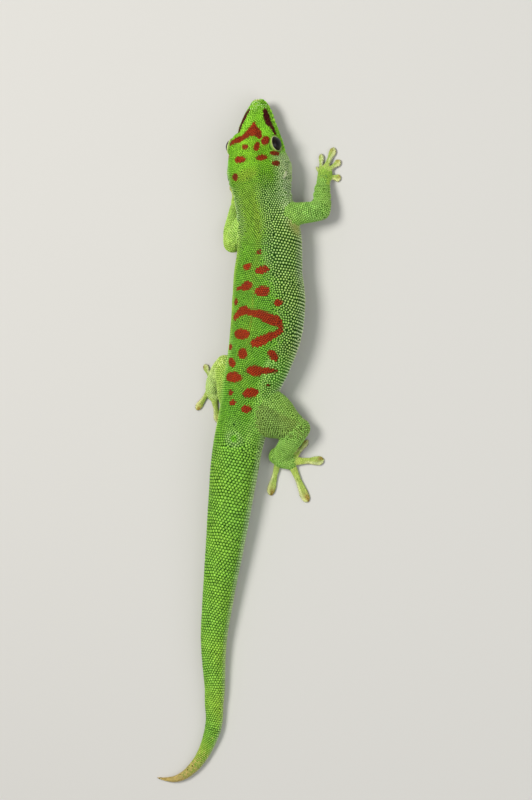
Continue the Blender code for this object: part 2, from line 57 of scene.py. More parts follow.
# Body stations: place of the middle line (x, y), half width, top, level of the greatest width, bottom
BODY = (
    (-0.1, 111.0, 0.6, 6.3, 5.5, 5.01),
    (-0.1, 110.6, 1.7, 7.4, 5.5, 4.21),
    (0.0, 109.6, 2.9, 8.2, 5.5, 3.62),
    (0.1, 108.3, 3.8, 8.9, 5.6, 3.33),
    (0.1, 106.2, 4.95, 9.8, 5.7, 3.04),
    (-0.1, 102.8, 6.35, 11.0, 5.8, 2.77),
    (-0.1, 100.2, 7.5, 12.0, 6.0, 2.58),
    (0.2, 97.6, 8.4, 13.0, 6.3, 2.5),
    (0.3, 94.7, 9.6, 14.1, 6.6, 2.32),
    (0.1, 91.4, 10.8, 15.0, 7.0, 2.25),
    (0.4, 87.9, 11.7, 15.5, 7.4, 2.17),
    (1.3, 83.5, 12.4, 15.7, 7.6, 2.21),
    (2.0, 79.9, 12.2, 15.4, 7.6, 2.35),
    (2.4, 76.3, 11.4, 14.9, 7.5, 2.4),
    (3.1, 72.3, 11.1, 14.6, 7.4, 1.92),
    (4.3, 67.3, 11.4, 14.8, 7.2, 1.17),
    (5.3, 60.4, 12.0, 15.4, 7.2, 0.22),
    (5.2, 53.4, 12.4, 16.1, 7.3, -0.2),
    (4.75, 45.5, 13.15, 16.9, 7.6, -0.3),
    (5.05, 37.6, 13.95, 17.5, 7.8, -0.3),
    (4.65, 29.7, 13.95, 17.7, 7.9, -0.3),
    (2.85, 20.8, 13.25, 17.4, 7.8, -0.3),
    (0.65, 13.9, 12.15, 16.8, 7.6, -0.3),
    (-2.0, 6.9, 11.0, 16.0, 7.3, -0.3),
    (-3.9, -0.5, 10.2, 15.3, 7.1, -0.3),
    (-5.9, -8.0, 9.7, 14.8, 6.9, -0.3),
    (-8.0, -15.5, 9.3, 14.3, 6.7, -0.3),
    (-9.85, -25.0, 9.1, 13.7, 6.4, -0.3),
    (-11.8, -37.0, 8.4, 12.6, 5.9, -0.25),
    (-13.9, -50.1, 7.6, 11.3, 5.3, -0.25),
    (-16.3, -64.2, 6.6, 9.9, 4.7, -0.25),
    (-18.5, -77.6, 5.75, 8.6, 4.1, -0.2),
    (-20.1, -89.6, 5.05, 7.4, 3.5, -0.2),
    (-20.3, -98.8, 4.5, 6.5, 3.1, -0.2),
    (-20.2, -107.7, 4.0, 5.6, 2.6, -0.2),
    (-20.6, -114.0, 3.7, 4.9, 2.3, -0.2),
    (-20.7, -119.7, 3.4, 4.4, 2.0, -0.2),
    (-21.5, -123.6, 3.2, 4.1, 1.9, -0.2),
    (-22.9, -127.3, 2.9, 3.7, 1.7, -0.2),
    (-24.7, -131.1, 2.6, 3.3, 1.5, -0.2),
    (-27.2, -135.1, 2.3, 3.0, 1.4, -0.2),
    (-30.8, -139.1, 2.0, 2.7, 1.2, -0.15),
    (-34.0, -141.6, 1.7, 2.4, 1.1, -0.15),
    (-38.1, -143.4, 1.3, 1.9, 0.9, -0.1),
    (-42.4, -143.9, 0.8, 1.3, 0.6, -0.05),
    (-44.8, -143.8, 0.5, 0.8, 0.4, -0.02),
    (-46.2, -143.7, 0.2, 0.4, 0.2, -0.01),
)
# Roundness of the back and the belly: 2 is an ellipse, and more is squarer
BACK_POWER = 2.15
BELLY_POWER = 2.3
TANGENT_STEP = 0.05  # reach ahead and back over which the body's direction is taken
# Eye: ball and socket, seen from the head's middle line
EYE_RADIUS = 3.1
EYE_OUT = 8.0
EYE_SHIFT = -0.45  # the eyes' own middle line, from that of the body
EYE_Y = 93.3
EYE_Z = 9.7
EYE_LIFT = 7.0  # degrees that the eye looks up
EYE_FORWARD = 14.0  # degrees that it looks forward
LID_RING, LID_THICK, LID_AT = 2.85, 0.34, 1.5  # the rim: radius, half thickness, how far out
ORBIT_RADII = (4.7, 4.3, 3.9)  # the swelling that the eye sits in: along, up and out
ORBIT_SINK = 1.9
BROW_RADII = (3.2, 5.2, 2.5)
BROW_AT = (5.6, 93.0, 11.3)
CHEEK_RADII = (3.2, 6.4, 4.4)
CHEEK_AT = (9.5, 84.2, 7.6)

# Mouth line from the front of the snout to its corner, as (y, z), then down through the throat
MOUTH = ((113.0, 5.3), (110.0, 5.2), (104.4, 5.0), (98.2, 4.8), (92.2, 4.9), (88.4, 5.4), (86.6, 6.0))
LIP_RADIUS = 0.6
LIP_LIFT = 0.45
LIP_FRONT = 110.7

NOSTRIL_AT = (3.1, 109.2, 7.3)
NOSTRIL_RADII = (0.8, 0.62, 0.5)
EAR_AT = (11.9, 82.0, 10.2)
EAR_LONG, EAR_NARROW = 1.65, 0.68  # half its length and half its width
EAR_TILT = -24.0  # degrees; the front end of the ear is the lower one

# Limb stations from root to end: x, y, z, half width, half height
LIMBS = {
    "upper_arm_right": (
        (9.0, 67.4, 8.0, 5.6, 5.0),
        (13.5, 67.6, 8.0, 4.8, 4.5),
        (17.5, 68.0, 7.4, 4.1, 3.9),
        (21.5, 68.4, 6.4, 3.8, 3.6),
        (25.2, 68.8, 5.4, 3.5, 3.4),
    ),
    "forearm_right": (
        (25.2, 68.8, 5.3, 3.5, 3.4),
        (25.2, 72.4, 4.6, 3.6, 3.2),
        (24.8, 76.2, 3.6, 3.2, 2.7),
        (24.8, 79.8, 2.6, 2.6, 2.1),
    ),
    "hand_right": (
        (24.8, 79.0, 2.4, 2.5, 1.9),
        (24.9, 81.8, 1.7, 2.9, 1.6),
        (25.3, 84.0, 1.1, 2.5, 1.1),
    ),
    "upper_arm_left": (
        (-2.0, 66.0, 8.0, 5.2, 4.8),
        (-5.6, 63.2, 7.6, 4.6, 4.3),
        (-8.8, 60.2, 6.5, 3.9, 3.7),
        (-11.2, 58.1, 5.3, 3.5, 3.4),
    ),
    "forearm_left": (
        (-11.2, 58.1, 5.2, 3.5, 3.4),
        (-11.6, 62.5, 4.7, 3.4, 3.2),
        (-11.3, 67.5, 3.6, 2.9, 2.7),
        (-11.0, 72.0, 2.6, 2.5, 2.1),
    ),
    "hand_left": (
        (-11.0, 71.2, 2.3, 2.4, 1.9),
        (-10.8, 74.0, 1.7, 2.8, 1.6),
        (-10.4, 76.4, 1.1, 2.4, 1.1),
    ),
    "thigh_right": (
        (-1.5, -3.2, 7.2, 8.4, 6.4),
        (4.2, -4.5, 7.4, 9.0, 6.1),
        (8.8, -6.8, 7.0, 8.1, 5.3),
        (12.9, -8.9, 6.4, 5.9, 4.6),
        (16.6, -10.4, 5.7, 4.0, 4.0),
    ),
    "shank_right": (
        (16.6, -10.4, 5.6, 4.0, 4.0),
        (13.6, -13.8, 5.0, 4.0, 3.8),
        (10.4, -17.2, 3.9, 3.7, 3.2),
        (7.6, -20.2, 2.9, 3.3, 2.5),
    ),
    "foot_right": (
        (5.0, -20.4, 2.5, 3.0, 2.3),
        (8.6, -22.0, 2.0, 3.4, 1.9),
        (12.0, -22.6, 1.3, 2.9, 1.3),
    ),
    "thigh_left": (
        (-5.0, -3.4, 7.2, 6.8, 6.2),
        (-9.6, 1.2, 7.2, 6.0, 5.6),
        (-12.2, 6.2, 6.8, 4.6, 4.7),
        (-13.4, 10.4, 6.3, 4.0, 4.1),
        (-14.1, 13.3, 5.8, 3.5, 3.6),
    ),
    "shank_left": (
        (-14.1, 13.3, 5.7, 3.5, 3.6),
        (-16.6, 11.0, 5.1, 3.4, 3.4),
        (-18.9, 8.0, 4.0, 3.1, 3.0),
        (-20.4, 4.8, 2.9, 2.7, 2.4),
    ),
    "foot_left": (
        (-21.3, 7.2, 2.3, 2.5, 2.1),
        (-21.5, 4.0, 1.9, 2.9, 1.8),
        (-20.9, 1.0, 1.3, 2.6, 1.2),
    ),
}
CAP_RINGS = 4

# Digits from the innermost to the outermost: root (x, y), tip (x, y), half width of the pad
DIGITS = {
    "finger_right": (
        ((22.9, 83.0), (21.0, 85.6), 0.7),
        ((23.2, 84.2), (23.1, 89.9), 1.15),
        ((25.2, 85.0), (28.2, 91.9), 1.5),
        ((26.2, 83.8), (30.6, 87.1), 1.4),
        ((26.6, 81.4), (30.6, 80.8), 1.45),
    ),
    "finger_left": (
        ((-8.6, 75.2), (-6.0, 76.6), 0.7),
        ((-9.0, 76.6), (-6.2, 81.0), 1.05),
        ((-10.0, 77.4), (-9.2, 84.6), 1.35),
        ((-11.2, 77.2), (-12.2, 84.0), 1.35),
        ((-12.4, 75.4), (-14.2, 80.4), 1.3),
    ),
    "toe_right": (
        ((12.0, -20.2), (14.8, -17.4), 0.8),
        ((13.0, -20.8), (17.5, -14.9), 1.15),
        ((13.4, -22.5), (23.9, -22.2), 1.8),
        ((11.4, -24.2), (17.3, -37.5), 1.9),
        ((5.6, -22.8), (1.8, -35.2), 1.75),
    ),
    "toe_left": (
        ((-20.2, 8.2), (-17.2, 10.0), 0.75),
        ((-21.0, 9.0), (-19.4, 14.2), 1.1),
        ((-22.5, 8.0), (-25.6, 13.2), 1.35),
        ((-23.2, 3.8), (-29.2, -3.6), 1.4),
        ((-21.3, 0.2), (-20.1, -8.3), 1.5),
    ),
}
# Share of the digit's length, half width as a share of the pad's, height of the middle, half height
DIGIT_PROFILE = (
    (0.00, 0.86, 1.15, 0.90),
    (0.22, 0.68, 0.95, 0.76),
    (0.42, 0.64, 0.76, 0.66),
    (0.62, 0.84, 0.60, 0.60),
    (0.80, 1.00, 0.52, 0.58),
    (0.92, 0.84, 0.48, 0.54),
    (0.97, 0.60, 0.44, 0.48),
)
THUMB_PROFILE = (
    (0.00, 1.00, 1.00, 0.80),
    (0.45, 0.90, 0.72, 0.70),
    (0.78, 0.85, 0.55, 0.60),
)

# Skin
COAT_DEPTH = 0.2  # how far the skin lies inside the solids, under the scales
DIGIT_DEPTH = 0.08
SKIN_VOXEL = 0.28
SKIN_TRIANGLES = 190000
FILLET_ROUNDS = 50
# Where limbs grow from the body, and how far round there the skin is drawn smooth: x, y, z, radius
FILLETS = (
    (14.5, 67.5, 8.0, 4.5),
    (-6.0, 63.0, 8.0, 4.0),
    (6.0, -4.5, 8.0, 6.0),
    (-11.5, 2.5, 8.0, 5.0),
    (24.9, 71.5, 5.0, 3.0),
    (15.5, -12.0, 5.5, 3.0),
    (9.5, -15.0, 5.0, 3.2),
)
RIM_IN, RIM_OUT = 2.52, 2.76  # where the skin dips behind the eye, from its axis
EYE_BED = 0.45  # how far the skin there lies under the eye's surface
EYE_COVER = 0.14  # and how far over it outside the rim
MOUTH_DEPTH, MOUTH_HALF = 0.55, 0.26
NECK_FOLDS = (31.5, 34.6, 37.4)  # places along the neck of its creases

# Markings on the body: place along, place across, half length, half width, turn in degrees, strength
SPOTS = (
    (16.5, 6.1, 1.2, 1.3, 0, 1.0),
    (18.5, -1.3, 0.8, 1.3, 0, 0.85),
    (18.5, 3.3, 1.7, 1.1, 0, 1.0),
    (22.7, -3.5, 1.05, 2.45, 8, 1.0),
    (23.7, 5.5, 1.3, 2.1, 5, 1.0),
    (22.2, 10.4, 1.2, 1.8, 20, 0.8),
    (27.0, 10.4, 0.85, 1.45, 7, 0.65),
    (28.1, -7.1, 1.4, 1.4, 0, 0.75),
    (20.5, -10.8, 0.8, 0.6, 0, 1.0),
    (57.7, 0.0, 0.75, 1.0, 0, 0.8),
    (63.1, -4.4, 1.1, 1.8, -10, 1.0),
    (64.2, 2.0, 1.4, 2.6, -12, 1.0),
    (69.8, -4.5, 1.6, 2.5, -9, 1.0),
    (70.3, -8.4, 0.6, 1.6, -6, 1.0),
    (72.1, 2.1, 1.7, 2.9, 0, 1.0),
    (75.7, -10.2, 1.3, 1.3, 0, 0.8),
    (76.1, 8.3, 1.1, 1.5, 0, 1.0),
    (88.8, -5.2, 2.0, 3.7, -12, 1.0),
    (95.4, -10.3, 1.2, 1.6, -12, 1.0),
    (95.9, -2.6, 1.9, 2.1, -12, 1.0),
    (93.1, 9.2, 1.3, 2.2, 26, 1.0),
    (100.9, -6.9, 1.5, 2.3, 10, 1.0),
    (100.2, 4.0, 1.8, 3.3, -16, 1.0),
    (98.7, 8.6, 0.95, 3.4, -14, 1.0),
    (105.4, -4.0, 1.7, 3.9, -13, 1.0),
    (111.0, -3.8, 1.1, 1.1, 0, 0.85),
    (109.0, 4.4, 1.7, 3.0, -24, 1.0),
    (114.3, -2.1, 0.9, 1.4, -24, 1.0),
    (115.2, 3.9, 1.3, 1.9, -12, 1.0),
    (103.9, 10.4, 0.4, 0.9, -18, 0.6),
)
# Markings drawn as strokes, each through points of (along, across, half thickness)
BACK_BAND = (
    (82.6, -10.2, 1.3),
    (81.2, -8.6, 1.4),
    (79.6, -6.6, 1.75),
    (79.2, -4.6, 1.6),
    (79.9, -2.6, 1.1),
    (80.1, 0.9, 1.35),
    (81.0, 3.7, 1.6),
    (81.7, 6.2, 1.75),
    (82.2, 8.6, 1.5),
    (83.4, 9.8, 0.85),
    (84.9, 10.2, 0.65),
    (85.9, 8.8, 0.95),
    (87.0, 6.8, 1.25),
    (88.7, 4.6, 1.6),
    (90.1, 2.4, 1.7),
    (90.9, 0.9, 1.2),
)
CHEVRON_FRONT = ((9.3, 1.0, 0.3), (10.6, 1.0, 0.95), (12.0, 0.9, 1.7), (12.6, 0.9, 1.75))
CHEVRON_LEFT = ((12.2, 0.6, 1.7), (13.9, -1.9, 1.35), (15.4, -4.2, 1.1), (16.7, -6.3, 0.9), (17.9, -8.2, 0.5))
CHEVRON_RIGHT = ((12.2, 1.1, 1.7), (13.4, 2.6, 1.35), (14.8, 3.9, 0.8))
NOSE_STRIPE = ((4.7, 4.2, 0.75), (6.8, 5.3, 1.25), (9.6, 6.9, 1.15), (12.0, 8.4, 0.8), (14.2, 9.9, 0.4))
ARMPIT = (48.4, 15.6, 3.6, 4.4)
# Faint patches: place along, place across, half length, half width, colour, strength
PATCHES = (
    (28.5, -2.6, 2.4, 6.0, "ochre", 0.28),
    (52.0, -0.5, 16.0, 1.6, "ochre", 0.12),
    (80.0, -1.6, 14.0, 0.4, "ochre", 0.35),
    (*ARMPIT, "armpit", 0.8),
    (33.0, 15.0, 8.0, 4.0, "edge", 0.6),
    (98.0, 11.0, 5.0, 4.0, "bead", 0.8),
    (12.5, 5.4, 3.5, 2.4, "spring", 0.8),
    (6.6, 2.8, 2.4, 2.2, "spring", 0.6),
    (124.0, 2.0, 5.0, 6.5, "temple", 0.07),
    (127.3, 1.6, 3.2, 3.8, "temple", 0.3),
    (127.0, 1.6, 1.5, 1.6, "scar", 1.0),
    (49.0, 18.5, 8.0, 2.4, "edge", 0.9),
)
DORSAL_SHIFT = -0.9  # the markings' middle line lies this far left of the top

# Colours of a scale from its top to its foot, as drawn on a screen, 0 to 255. The pale top is partly the
# scale's own colour and partly painted highlight; the dark foot is partly painted shade.
PALETTE = {
    "snout": ((176, 238, 82), (124, 200, 26), (82, 148, 8)),
    "crown": ((164, 228, 66), (116, 192, 14), (78, 142, 4)),
    "nape": ((160, 203, 76), (99, 149, 24), (56, 101, 7)),
    "temple": ((232, 246, 196), (156, 194, 110), (92, 140, 56)),
    "back": ((142, 206, 68), (78, 147, 20), (40, 97, 5)),
    "flank": ((216, 248, 152), (72, 140, 14), (28, 82, 0)),
    "bead": ((206, 248, 138), (114, 188, 50), (72, 140, 22)),
    "edge": ((246, 255, 226), (170, 204, 128), (52, 100, 14)),
    "belly": ((232, 232, 204), (212, 214, 180), (150, 152, 110)),
    "lime": ((208, 234, 96), (162, 206, 44), (100, 148, 20)),
    "sunlit": ((214, 248, 114), (170, 224, 58), (118, 180, 28)),
    "spring": ((186, 252, 84), (146, 228, 34), (106, 184, 16)),
    "tail": ((170, 228, 86), (56, 124, 4), (14, 64, 2)),
    "tail_end": ((216, 194, 122), (186, 162, 92), (122, 98, 42)),
    "arm": ((190, 234, 126), (110, 172, 44), (70, 126, 20)),
    "thigh": ((162, 198, 102), (102, 134, 46), (67, 94, 26)),
    "digit": ((210, 228, 130), (182, 208, 92), (150, 182, 64)),
    "pad": ((214, 206, 132), (192, 182, 106), (154, 138, 72)),
    "pad_tip": ((190, 146, 74), (164, 120, 52), (122, 84, 32)),
    "sole": ((206, 204, 180), (184, 180, 152), (132, 124, 98)),
    "red": ((176, 64, 22), (154, 48, 14), (114, 28, 6)),
    "maroon": ((98, 24, 20), (80, 14, 14), (52, 6, 8)),
    "rim": ((250, 254, 200), (238, 244, 170), (206, 218, 126)),
    "brown": ((140, 62, 28), (118, 48, 18), (86, 32, 8)),
    "ochre": ((178, 166, 60), (150, 142, 36), (108, 100, 22)),
    "scar": ((136, 208, 58), (104, 186, 30), (76, 146, 16)),
    "ear": ((238, 248, 206), (238, 248, 206), (238, 248, 206)),
    "armpit": ((224, 230, 150), (192, 200, 104), (154, 168, 74)),
    # painted shade for the seam of the mouth
    "mouth": ((60, 56, 34), (48, 44, 26), (30, 26, 16)),
}
SKIN_SHADE = 0.8  # painted shade: the skin between scales, in the crevices, is darker than their feet

# Scales
HEAD_END = 30.0  # the head's small irregular scales reach this far along
BACK_START, BACK_END = 32.0, 130.0  # where the scales of the upper side stand in rows
ROW_STEP = 0.866  # rows stand this share of a scale apart, as in a honeycomb
ROW_SLOPE = 0.16  # rows run obliquely back from the middle line
ROW_WAVE = 0.3  # how far rows swing ahead and back along their length
SEED_SPREAD = 0.05  # how far a scale may stand out of its row, as a share of a scale
THIGH_SPREAD = 0.09
RELAX_ROUNDS = 10
EASE = 0.97  # scales push each other apart up to this share of their size
CROWD = 0.72  # no scale starts nearer to another than this share of a scale
CROWN_SHARE = 0.58  # the pale top of a scale, partly painted highlight, as a share of its width
BEAD_CROWN = 0.5
FILL_POINTS = (150000, 320000)  # random points tried for scales in each round
TAIL_START = 130.0
LIMB_SCALE = {
    "upper": 0.8, "forearm": 0.74, "hand": 0.56, "finger": 0.46,
    "thigh": 0.84, "shank": 0.76, "foot": 0.6, "toe": 0.46,
}
# Sizes of the body's scales: places along it, and the size at each
SPACING = {
    "back": ((0, 5, 13, 26, 34, 48, 118, 130), (0.9, 0.84, 0.7, 0.7, 0.76, 0.8, 0.8, 1.0)),
    "flank": ((24, 40, 54, 100, 116, 128), (0.72, 0.9, 1.12, 1.08, 0.98, 1.05)),
    "belly": ((0, 30, 60), (0.75, 0.9, 1.2)),
    "tail": ((126, 140, 200, 240, 272), (1.1, 1.3, 1.12, 0.85, 0.55)),
}
# Where the back gives way to the flank: places along, and the share of the half girth at each
BORDER = ((30, 56, 69, 76, 82, 104, 112, 122), (0.1, 0.1, 0.19, 0.26, 0.31, 0.31, 0.36, 0.52))
# The coat's pieces on the body, and how far along each starts
COAT_LENGTHS = (
    ("head", 0.0), ("nape", 24.0), ("shoulders", 52.0), ("back", 76.0), ("hips", 98.0), ("tail", TAIL_START),
)
# Rings of scales round the eye: radius, how far out it lies, count, colour
EYE_RINGS = ((2.84, 1.45, 44, "rim"), (3.16, 1.2, 46, "crown"))
PATCH = 0.0014  # half the width of a scale's place on the map
ATLAS = 204.0  # millimetres of skin across the whole map
STRIP = 92.0  # the body is unwrapped in lengths of this many millimetres
BODY_GIRTH, TAIL_GIRTH = 76.0, 46.0  # room on the map across those lengths

# Materials: name, roughness, relief and grain
LOOKS = (("scales", 0.42, 0.5, 5200.0), ("toe_scales", 0.5, 0.4, 6500.0), ("skin", 0.55, 0.7, 3600.0))
MOTTLE = ((0.3, (0.8, 0.82, 0.78)), (0.7, (1.12, 1.1, 1.08)))
# Colours of the eye, from the middle of the pupil outwards
IRIS = (
    (0.0, (0.002, 0.002, 0.003)),
    (0.44, (0.002, 0.002, 0.003)),
    (0.48, (0.014, 0.008, 0.006)),
    (0.62, (0.01, 0.006, 0.005)),
    (0.8, (0.005, 0.004, 0.004)),
    (1.0, (0.004, 0.004, 0.004)),
)

# Floor and light; each lamp's name, place, size, power and colour
FLOOR_COLOUR = (0.66, 0.65, 0.62, 1.0)
SKY_LIGHT = 0.3
LIGHTS = (
    ("key", (-0.35, 0.3, 0.9), 0.5, 7.4, (1.0, 0.98, 0.94)),
    ("fill", (0.7, -0.1, 0.6), 0.8, 3.0, (0.95, 0.98, 1.0)),
)

# Camera, as the photo sees the animal
TILT = 27.0  # degrees off upright, to the animal's right
DISTANCE = 0.8245
LENS = 100.0
SENSOR = 36.0


def norms(rows):
    """The length of each row."""
    return np.linalg.norm(rows, axis=1)


def unit(rows):
    """The same rows, each made one long."""
    return rows / np.maximum(np.linalg.norm(rows, axis=-1, keepdims=True), 1e-9)


def step(value, low, high):
    """0 below low, 1 above high and a smooth rise between."""
    t = np.clip((np.asarray(value, float) - low) / (high - low), 0.0, 1.0)
    return t * t * (3 - 2 * t)


def fall(value, low, high):
    """1 below low, 0 above high and a smooth fall between."""
    return 1 - step(value, low, high)


def hump(value, middle, width):
    """1 at the middle, and less to both sides."""
    return np.exp(-(((value - middle) / width) ** 2))


def smooth(table, places, at):
    """The rows of a table as a smooth curve: its values at each of the places asked for."""
    table, at = np.array(table, float), np.asarray(at, float)
    slopes = np.gradient(table, places, axis=0)
    k = np.clip(np.searchsorted(places, at, side="right") - 1, 0, len(places) - 2)
    span = (places[k + 1] - places[k])[:, None]
    t = (at - places[k])[:, None] / span
    return (
        (2 * t**3 - 3 * t**2 + 1) * table[k]
        + (t**3 - 2 * t**2 + t) * span * slopes[k]
        + (3 * t**2 - 2 * t**3) * table[k + 1]
        + (t**3 - t**2) * span * slopes[k + 1]
    )


def between(at, places, rows, period=None):
    """The rows of a table, read at places between them."""
    return np.stack([np.interp(at, places, column, period=period) for column in rows.T], axis=1)


def lengths_along(points):
    """How far along a path each of its points lies."""
    return np.concatenate([[0.0], np.cumsum(norms(np.diff(points, axis=0)))])


BODY_TABLE = np.array(BODY, float)
BODY_LENGTH = lengths_along(BODY_TABLE[:, :2])


def middle_at(y, values):
    """A value of the body's middle line, where the line reaches this y."""
    return float(np.interp(-y, -BODY_TABLE[:, 1], values))


def paired(at, side):
    """One of two like places, left and right of the body's middle line."""
    x, y, z = at
    return np.array([middle_at(y, BODY_TABLE[:, 0]) + side * x, y, z])


def body_rings(places, sides):
    """Upright rings round the body at these lengths along it."""
    x, y, wide, top, level, bottom = smooth(BODY_TABLE, BODY_LENGTH, places).T[:, :, None]
    ahead, behind = (
        smooth(BODY_TABLE, BODY_LENGTH, np.clip(places + reach, 0.0, BODY_LENGTH[-1]))[:, :2]
        for reach in (TANGENT_STEP, -TANGENT_STEP)
    )
    tangents = unit(ahead - behind)
    angles = np.linspace(0, 2 * math.pi, sides, endpoint=False)
    cosine, sine = np.cos(angles), np.sin(angles)
    power = np.where(sine >= 0, BACK_POWER, BELLY_POWER)
    out = np.sign(cosine) * np.abs(cosine) ** (2 / power) * np.maximum(wide, 0.2)
    rise = np.abs(sine) ** (2 / power) * np.where(sine >= 0, top - level, bottom - level)
    return np.stack([x - out * tangents[:, 1:], y + out * tangents[:, :1], level + rise], axis=2)


def tube_rings(centres, tangents, wide, high, sides):
    """Rings round a path, each of its own half width and half height."""
    side = unit(np.cross(tangents, [0.0, 0.0, 1.0]))
    up = np.cross(side, tangents)
    angles = np.linspace(0, 2 * math.pi, sides, endpoint=False)
    return (
        centres[:, None]
        + np.outer(wide, np.cos(angles))[:, :, None] * side[:, None]
        + np.outer(high, np.sin(angles))[:, :, None] * up[:, None]
    )


def limb_rings(stations, sides, count):
    """Rings round a limb, with rounded ends."""
    table = np.array(stations, float)
    places = lengths_along(table[:, :3])
    at = np.linspace(0, places[-1], count)
    rows = smooth(table, places, at)
    tangents = unit(np.gradient(rows[:, :3], at, axis=0))
    ends = math.pi / 2 * np.arange(1, CAP_RINGS + 1) / (CAP_RINGS + 1)
    push = np.concatenate([-np.sin(ends[::-1]), np.zeros(count), np.sin(ends)])
    share = np.concatenate([np.cos(ends[::-1]), np.ones(count), np.cos(ends)])
    keep = np.clip(np.arange(-CAP_RINGS, count + CAP_RINGS), 0, count - 1)
    rows, tangents = rows[keep], tangents[keep]
    wide, high = rows[:, 3], rows[:, 4]
    centres = rows[:, :3] + tangents * (push * np.minimum(wide, high))[:, None]
    return tube_rings(centres, tangents, wide * share, high * share, sides)


def digit_stations(root, tip, pad, profile):
    """Stations of a digit: narrow behind its pad, and flat under it."""
    root, tip = np.array(root), np.array(tip)
    return [
        (*(root + (tip - root) * share), height, wide * pad, thick)
        for share, wide, height, thick in profile
    ]


def limb_list():
    """Every limb length and digit: its name, its stations, and the counts for its loft."""
    rows = [(name, stations, 36, 26) for name, stations in LIMBS.items()]
    for kind, digits in DIGITS.items():
        for number, (root, tip, pad) in enumerate(digits, 1):
            profile = THUMB_PROFILE if number == 1 else DIGIT_PROFILE
            rows.append((f"{kind}_{number}", digit_stations(root, tip, pad, profile), 20, 22))
    return rows


def grid_faces(count, sides):
    """The four-sided faces between rings of points."""
    return [
        (k, m, m + sides, k + sides)
        for start in range(0, (count - 1) * sides, sides)
        for k, m in zip(range(start, start + sides), [*range(start + 1, start + sides), start])
    ]


def shown(name, data):
    """A new object in the scene."""
    made = bpy.data.objects.new(name, data)
    bpy.context.scene.collection.objects.link(made)
    return made


def shown_mesh(name, shape):
    mesh = bpy.data.meshes.new(name)
    shape.to_mesh(mesh)
    shape.free()
    return shown(name, mesh)


def add_mesh(name, points, faces):
    """An object with these points, in metres, and with its faces turned outwards."""
    mesh = bpy.data.meshes.new(name)
    mesh.from_pydata([tuple(p) for p in points], [], faces)
    shape = bmesh.new()
    shape.from_mesh(mesh)
    bpy.data.meshes.remove(mesh)
    bmesh.ops.recalc_face_normals(shape, faces=shape.faces)
    return shown_mesh(name, shape)


def loft(name, rings):
    """A closed mesh through the rings, pressed flat where it would pass below the floor."""
    count, sides = rings.shape[:2]
    points = rings.reshape(-1, 3) + FRAME_SHIFT
    points[:, 2] = np.maximum(points[:, 2], FLOOR)
    ends = [tuple(reversed(range(sides))), tuple(range(len(points) - sides, len(points)))]
    return add_mesh(name, points * MM, grid_faces(count, sides) + ends)


def placed(centre, turn):
    """The matrix that takes a shape of its own axes to this place in the frame, in millimetres."""
    return Matrix.Translation(Vector(np.array(centre) + FRAME_SHIFT)) @ turn


def ellipsoid(name, centre, radii, turn, segments=48, rings=28):
    """A closed ellipsoid, turned by a matrix about its centre."""
    shape = bmesh.new()
    bmesh.ops.create_uvsphere(shape, u_segments=segments, v_segments=rings, radius=1.0)
    shape.transform(Matrix.Scale(MM, 4) @ (placed(centre, turn) @ Matrix.Diagonal((*radii, 1.0))))
    return shown_mesh(name, shape)


def eye_matrix(side):
    """Turns +Z to the way this eye looks."""
    lift, forward = math.radians(EYE_LIFT), math.radians(EYE_FORWARD)
    out = Vector((
        side * math.cos(lift) * math.cos(forward),
        math.cos(lift) * math.sin(forward),
        math.sin(lift),
    ))
    return out.to_track_quat("Z", "Y").to_matrix().to_4x4()


def eye_basis(side):
    """The eye's own axes as columns; the third is the way that it looks."""
    return np.array(eye_matrix(side).to_3x3())


def eye_centre(side):
    return (middle_at(EYE_Y, BODY_TABLE[:, 0]) + EYE_SHIFT + side * EYE_OUT, EYE_Y, EYE_Z)


def eye_polar(points, side):
    """How far each point lies from the eye's axis, and how far out along it."""
    local = (points - np.array(eye_centre(side))) @ eye_basis(side)
    return np.hypot(local[:, 0], local[:, 1]), local[:, 2]


def orbit(side):
    """The swelling round the eye, which carries the rim."""
    turn = eye_matrix(side)
    centre = Vector(eye_centre(side)) - turn @ Vector((0.0, 0.0, 1.0)) * ORBIT_SINK
    return ellipsoid("orbit", centre, ORBIT_RADII, turn)


def lid_ring(side):
    """The swollen ring of small scales that rims the eye."""
    around, across = 64, 16
    turn = placed(eye_centre(side), eye_matrix(side))
    points, faces = [], []
    for i in range(around):
        a = 2 * math.pi * i / around
        for j in range(across):
            b = 2 * math.pi * j / across
            reach = LID_RING + LID_THICK * math.cos(b)
            local = Vector((reach * math.cos(a), reach * math.sin(a), LID_AT + LID_THICK * math.sin(b)))
            points.append((turn @ local) * MM)
            k, m = (i + 1) % around, (j + 1) % across
            faces.append((i * across + j, k * across + j, k * across + m, i * across + m))
    return add_mesh("lid", points, faces)


def surface_point(y, z, side):
    """The point of the body's surface at this y and height, on one side of it."""
    x, _, wide, top, level, bottom = smooth(BODY_TABLE, BODY_LENGTH, [middle_at(y, BODY_LENGTH)])[0]
    end, power = (top, BACK_POWER) if z >= level else (bottom, BELLY_POWER)
    share = min((z - level) / (end - level), 1.0)
    return (x + side * wide * max(0.0, 1 - share**power) ** (1 / power), y, z)


def mouth_height(y):
    """Height of the middle of the mouth line at this y."""
    table = np.array(MOUTH[::-1])
    return np.interp(y, table[:, 0], table[:, 1]) + GAP / 2


def mouth_path(lift, count):
    """Points along the lips from the left corner round the snout to the right one."""
    places = np.linspace(MOUTH[-1][0], LIP_FRONT, 24)
    left, right = (
        [surface_point(y, mouth_height(y) + lift, side) for y in places] for side in (-1, 1)
    )
    path = np.array(left + right[::-1])
    at = lengths_along(path)
    return between(np.linspace(0, at[-1], count), at, path)


def lip_tube():
    """A low swelling along the mouth line, round the front of the snout and back on both sides."""
    path = mouth_path(LIP_LIFT - GAP / 2, 90)
    high = np.full(len(path), LIP_RADIUS)
    return loft("lips", tube_rings(path, unit(np.gradient(path, axis=0)), high * 0.6, high, 12))


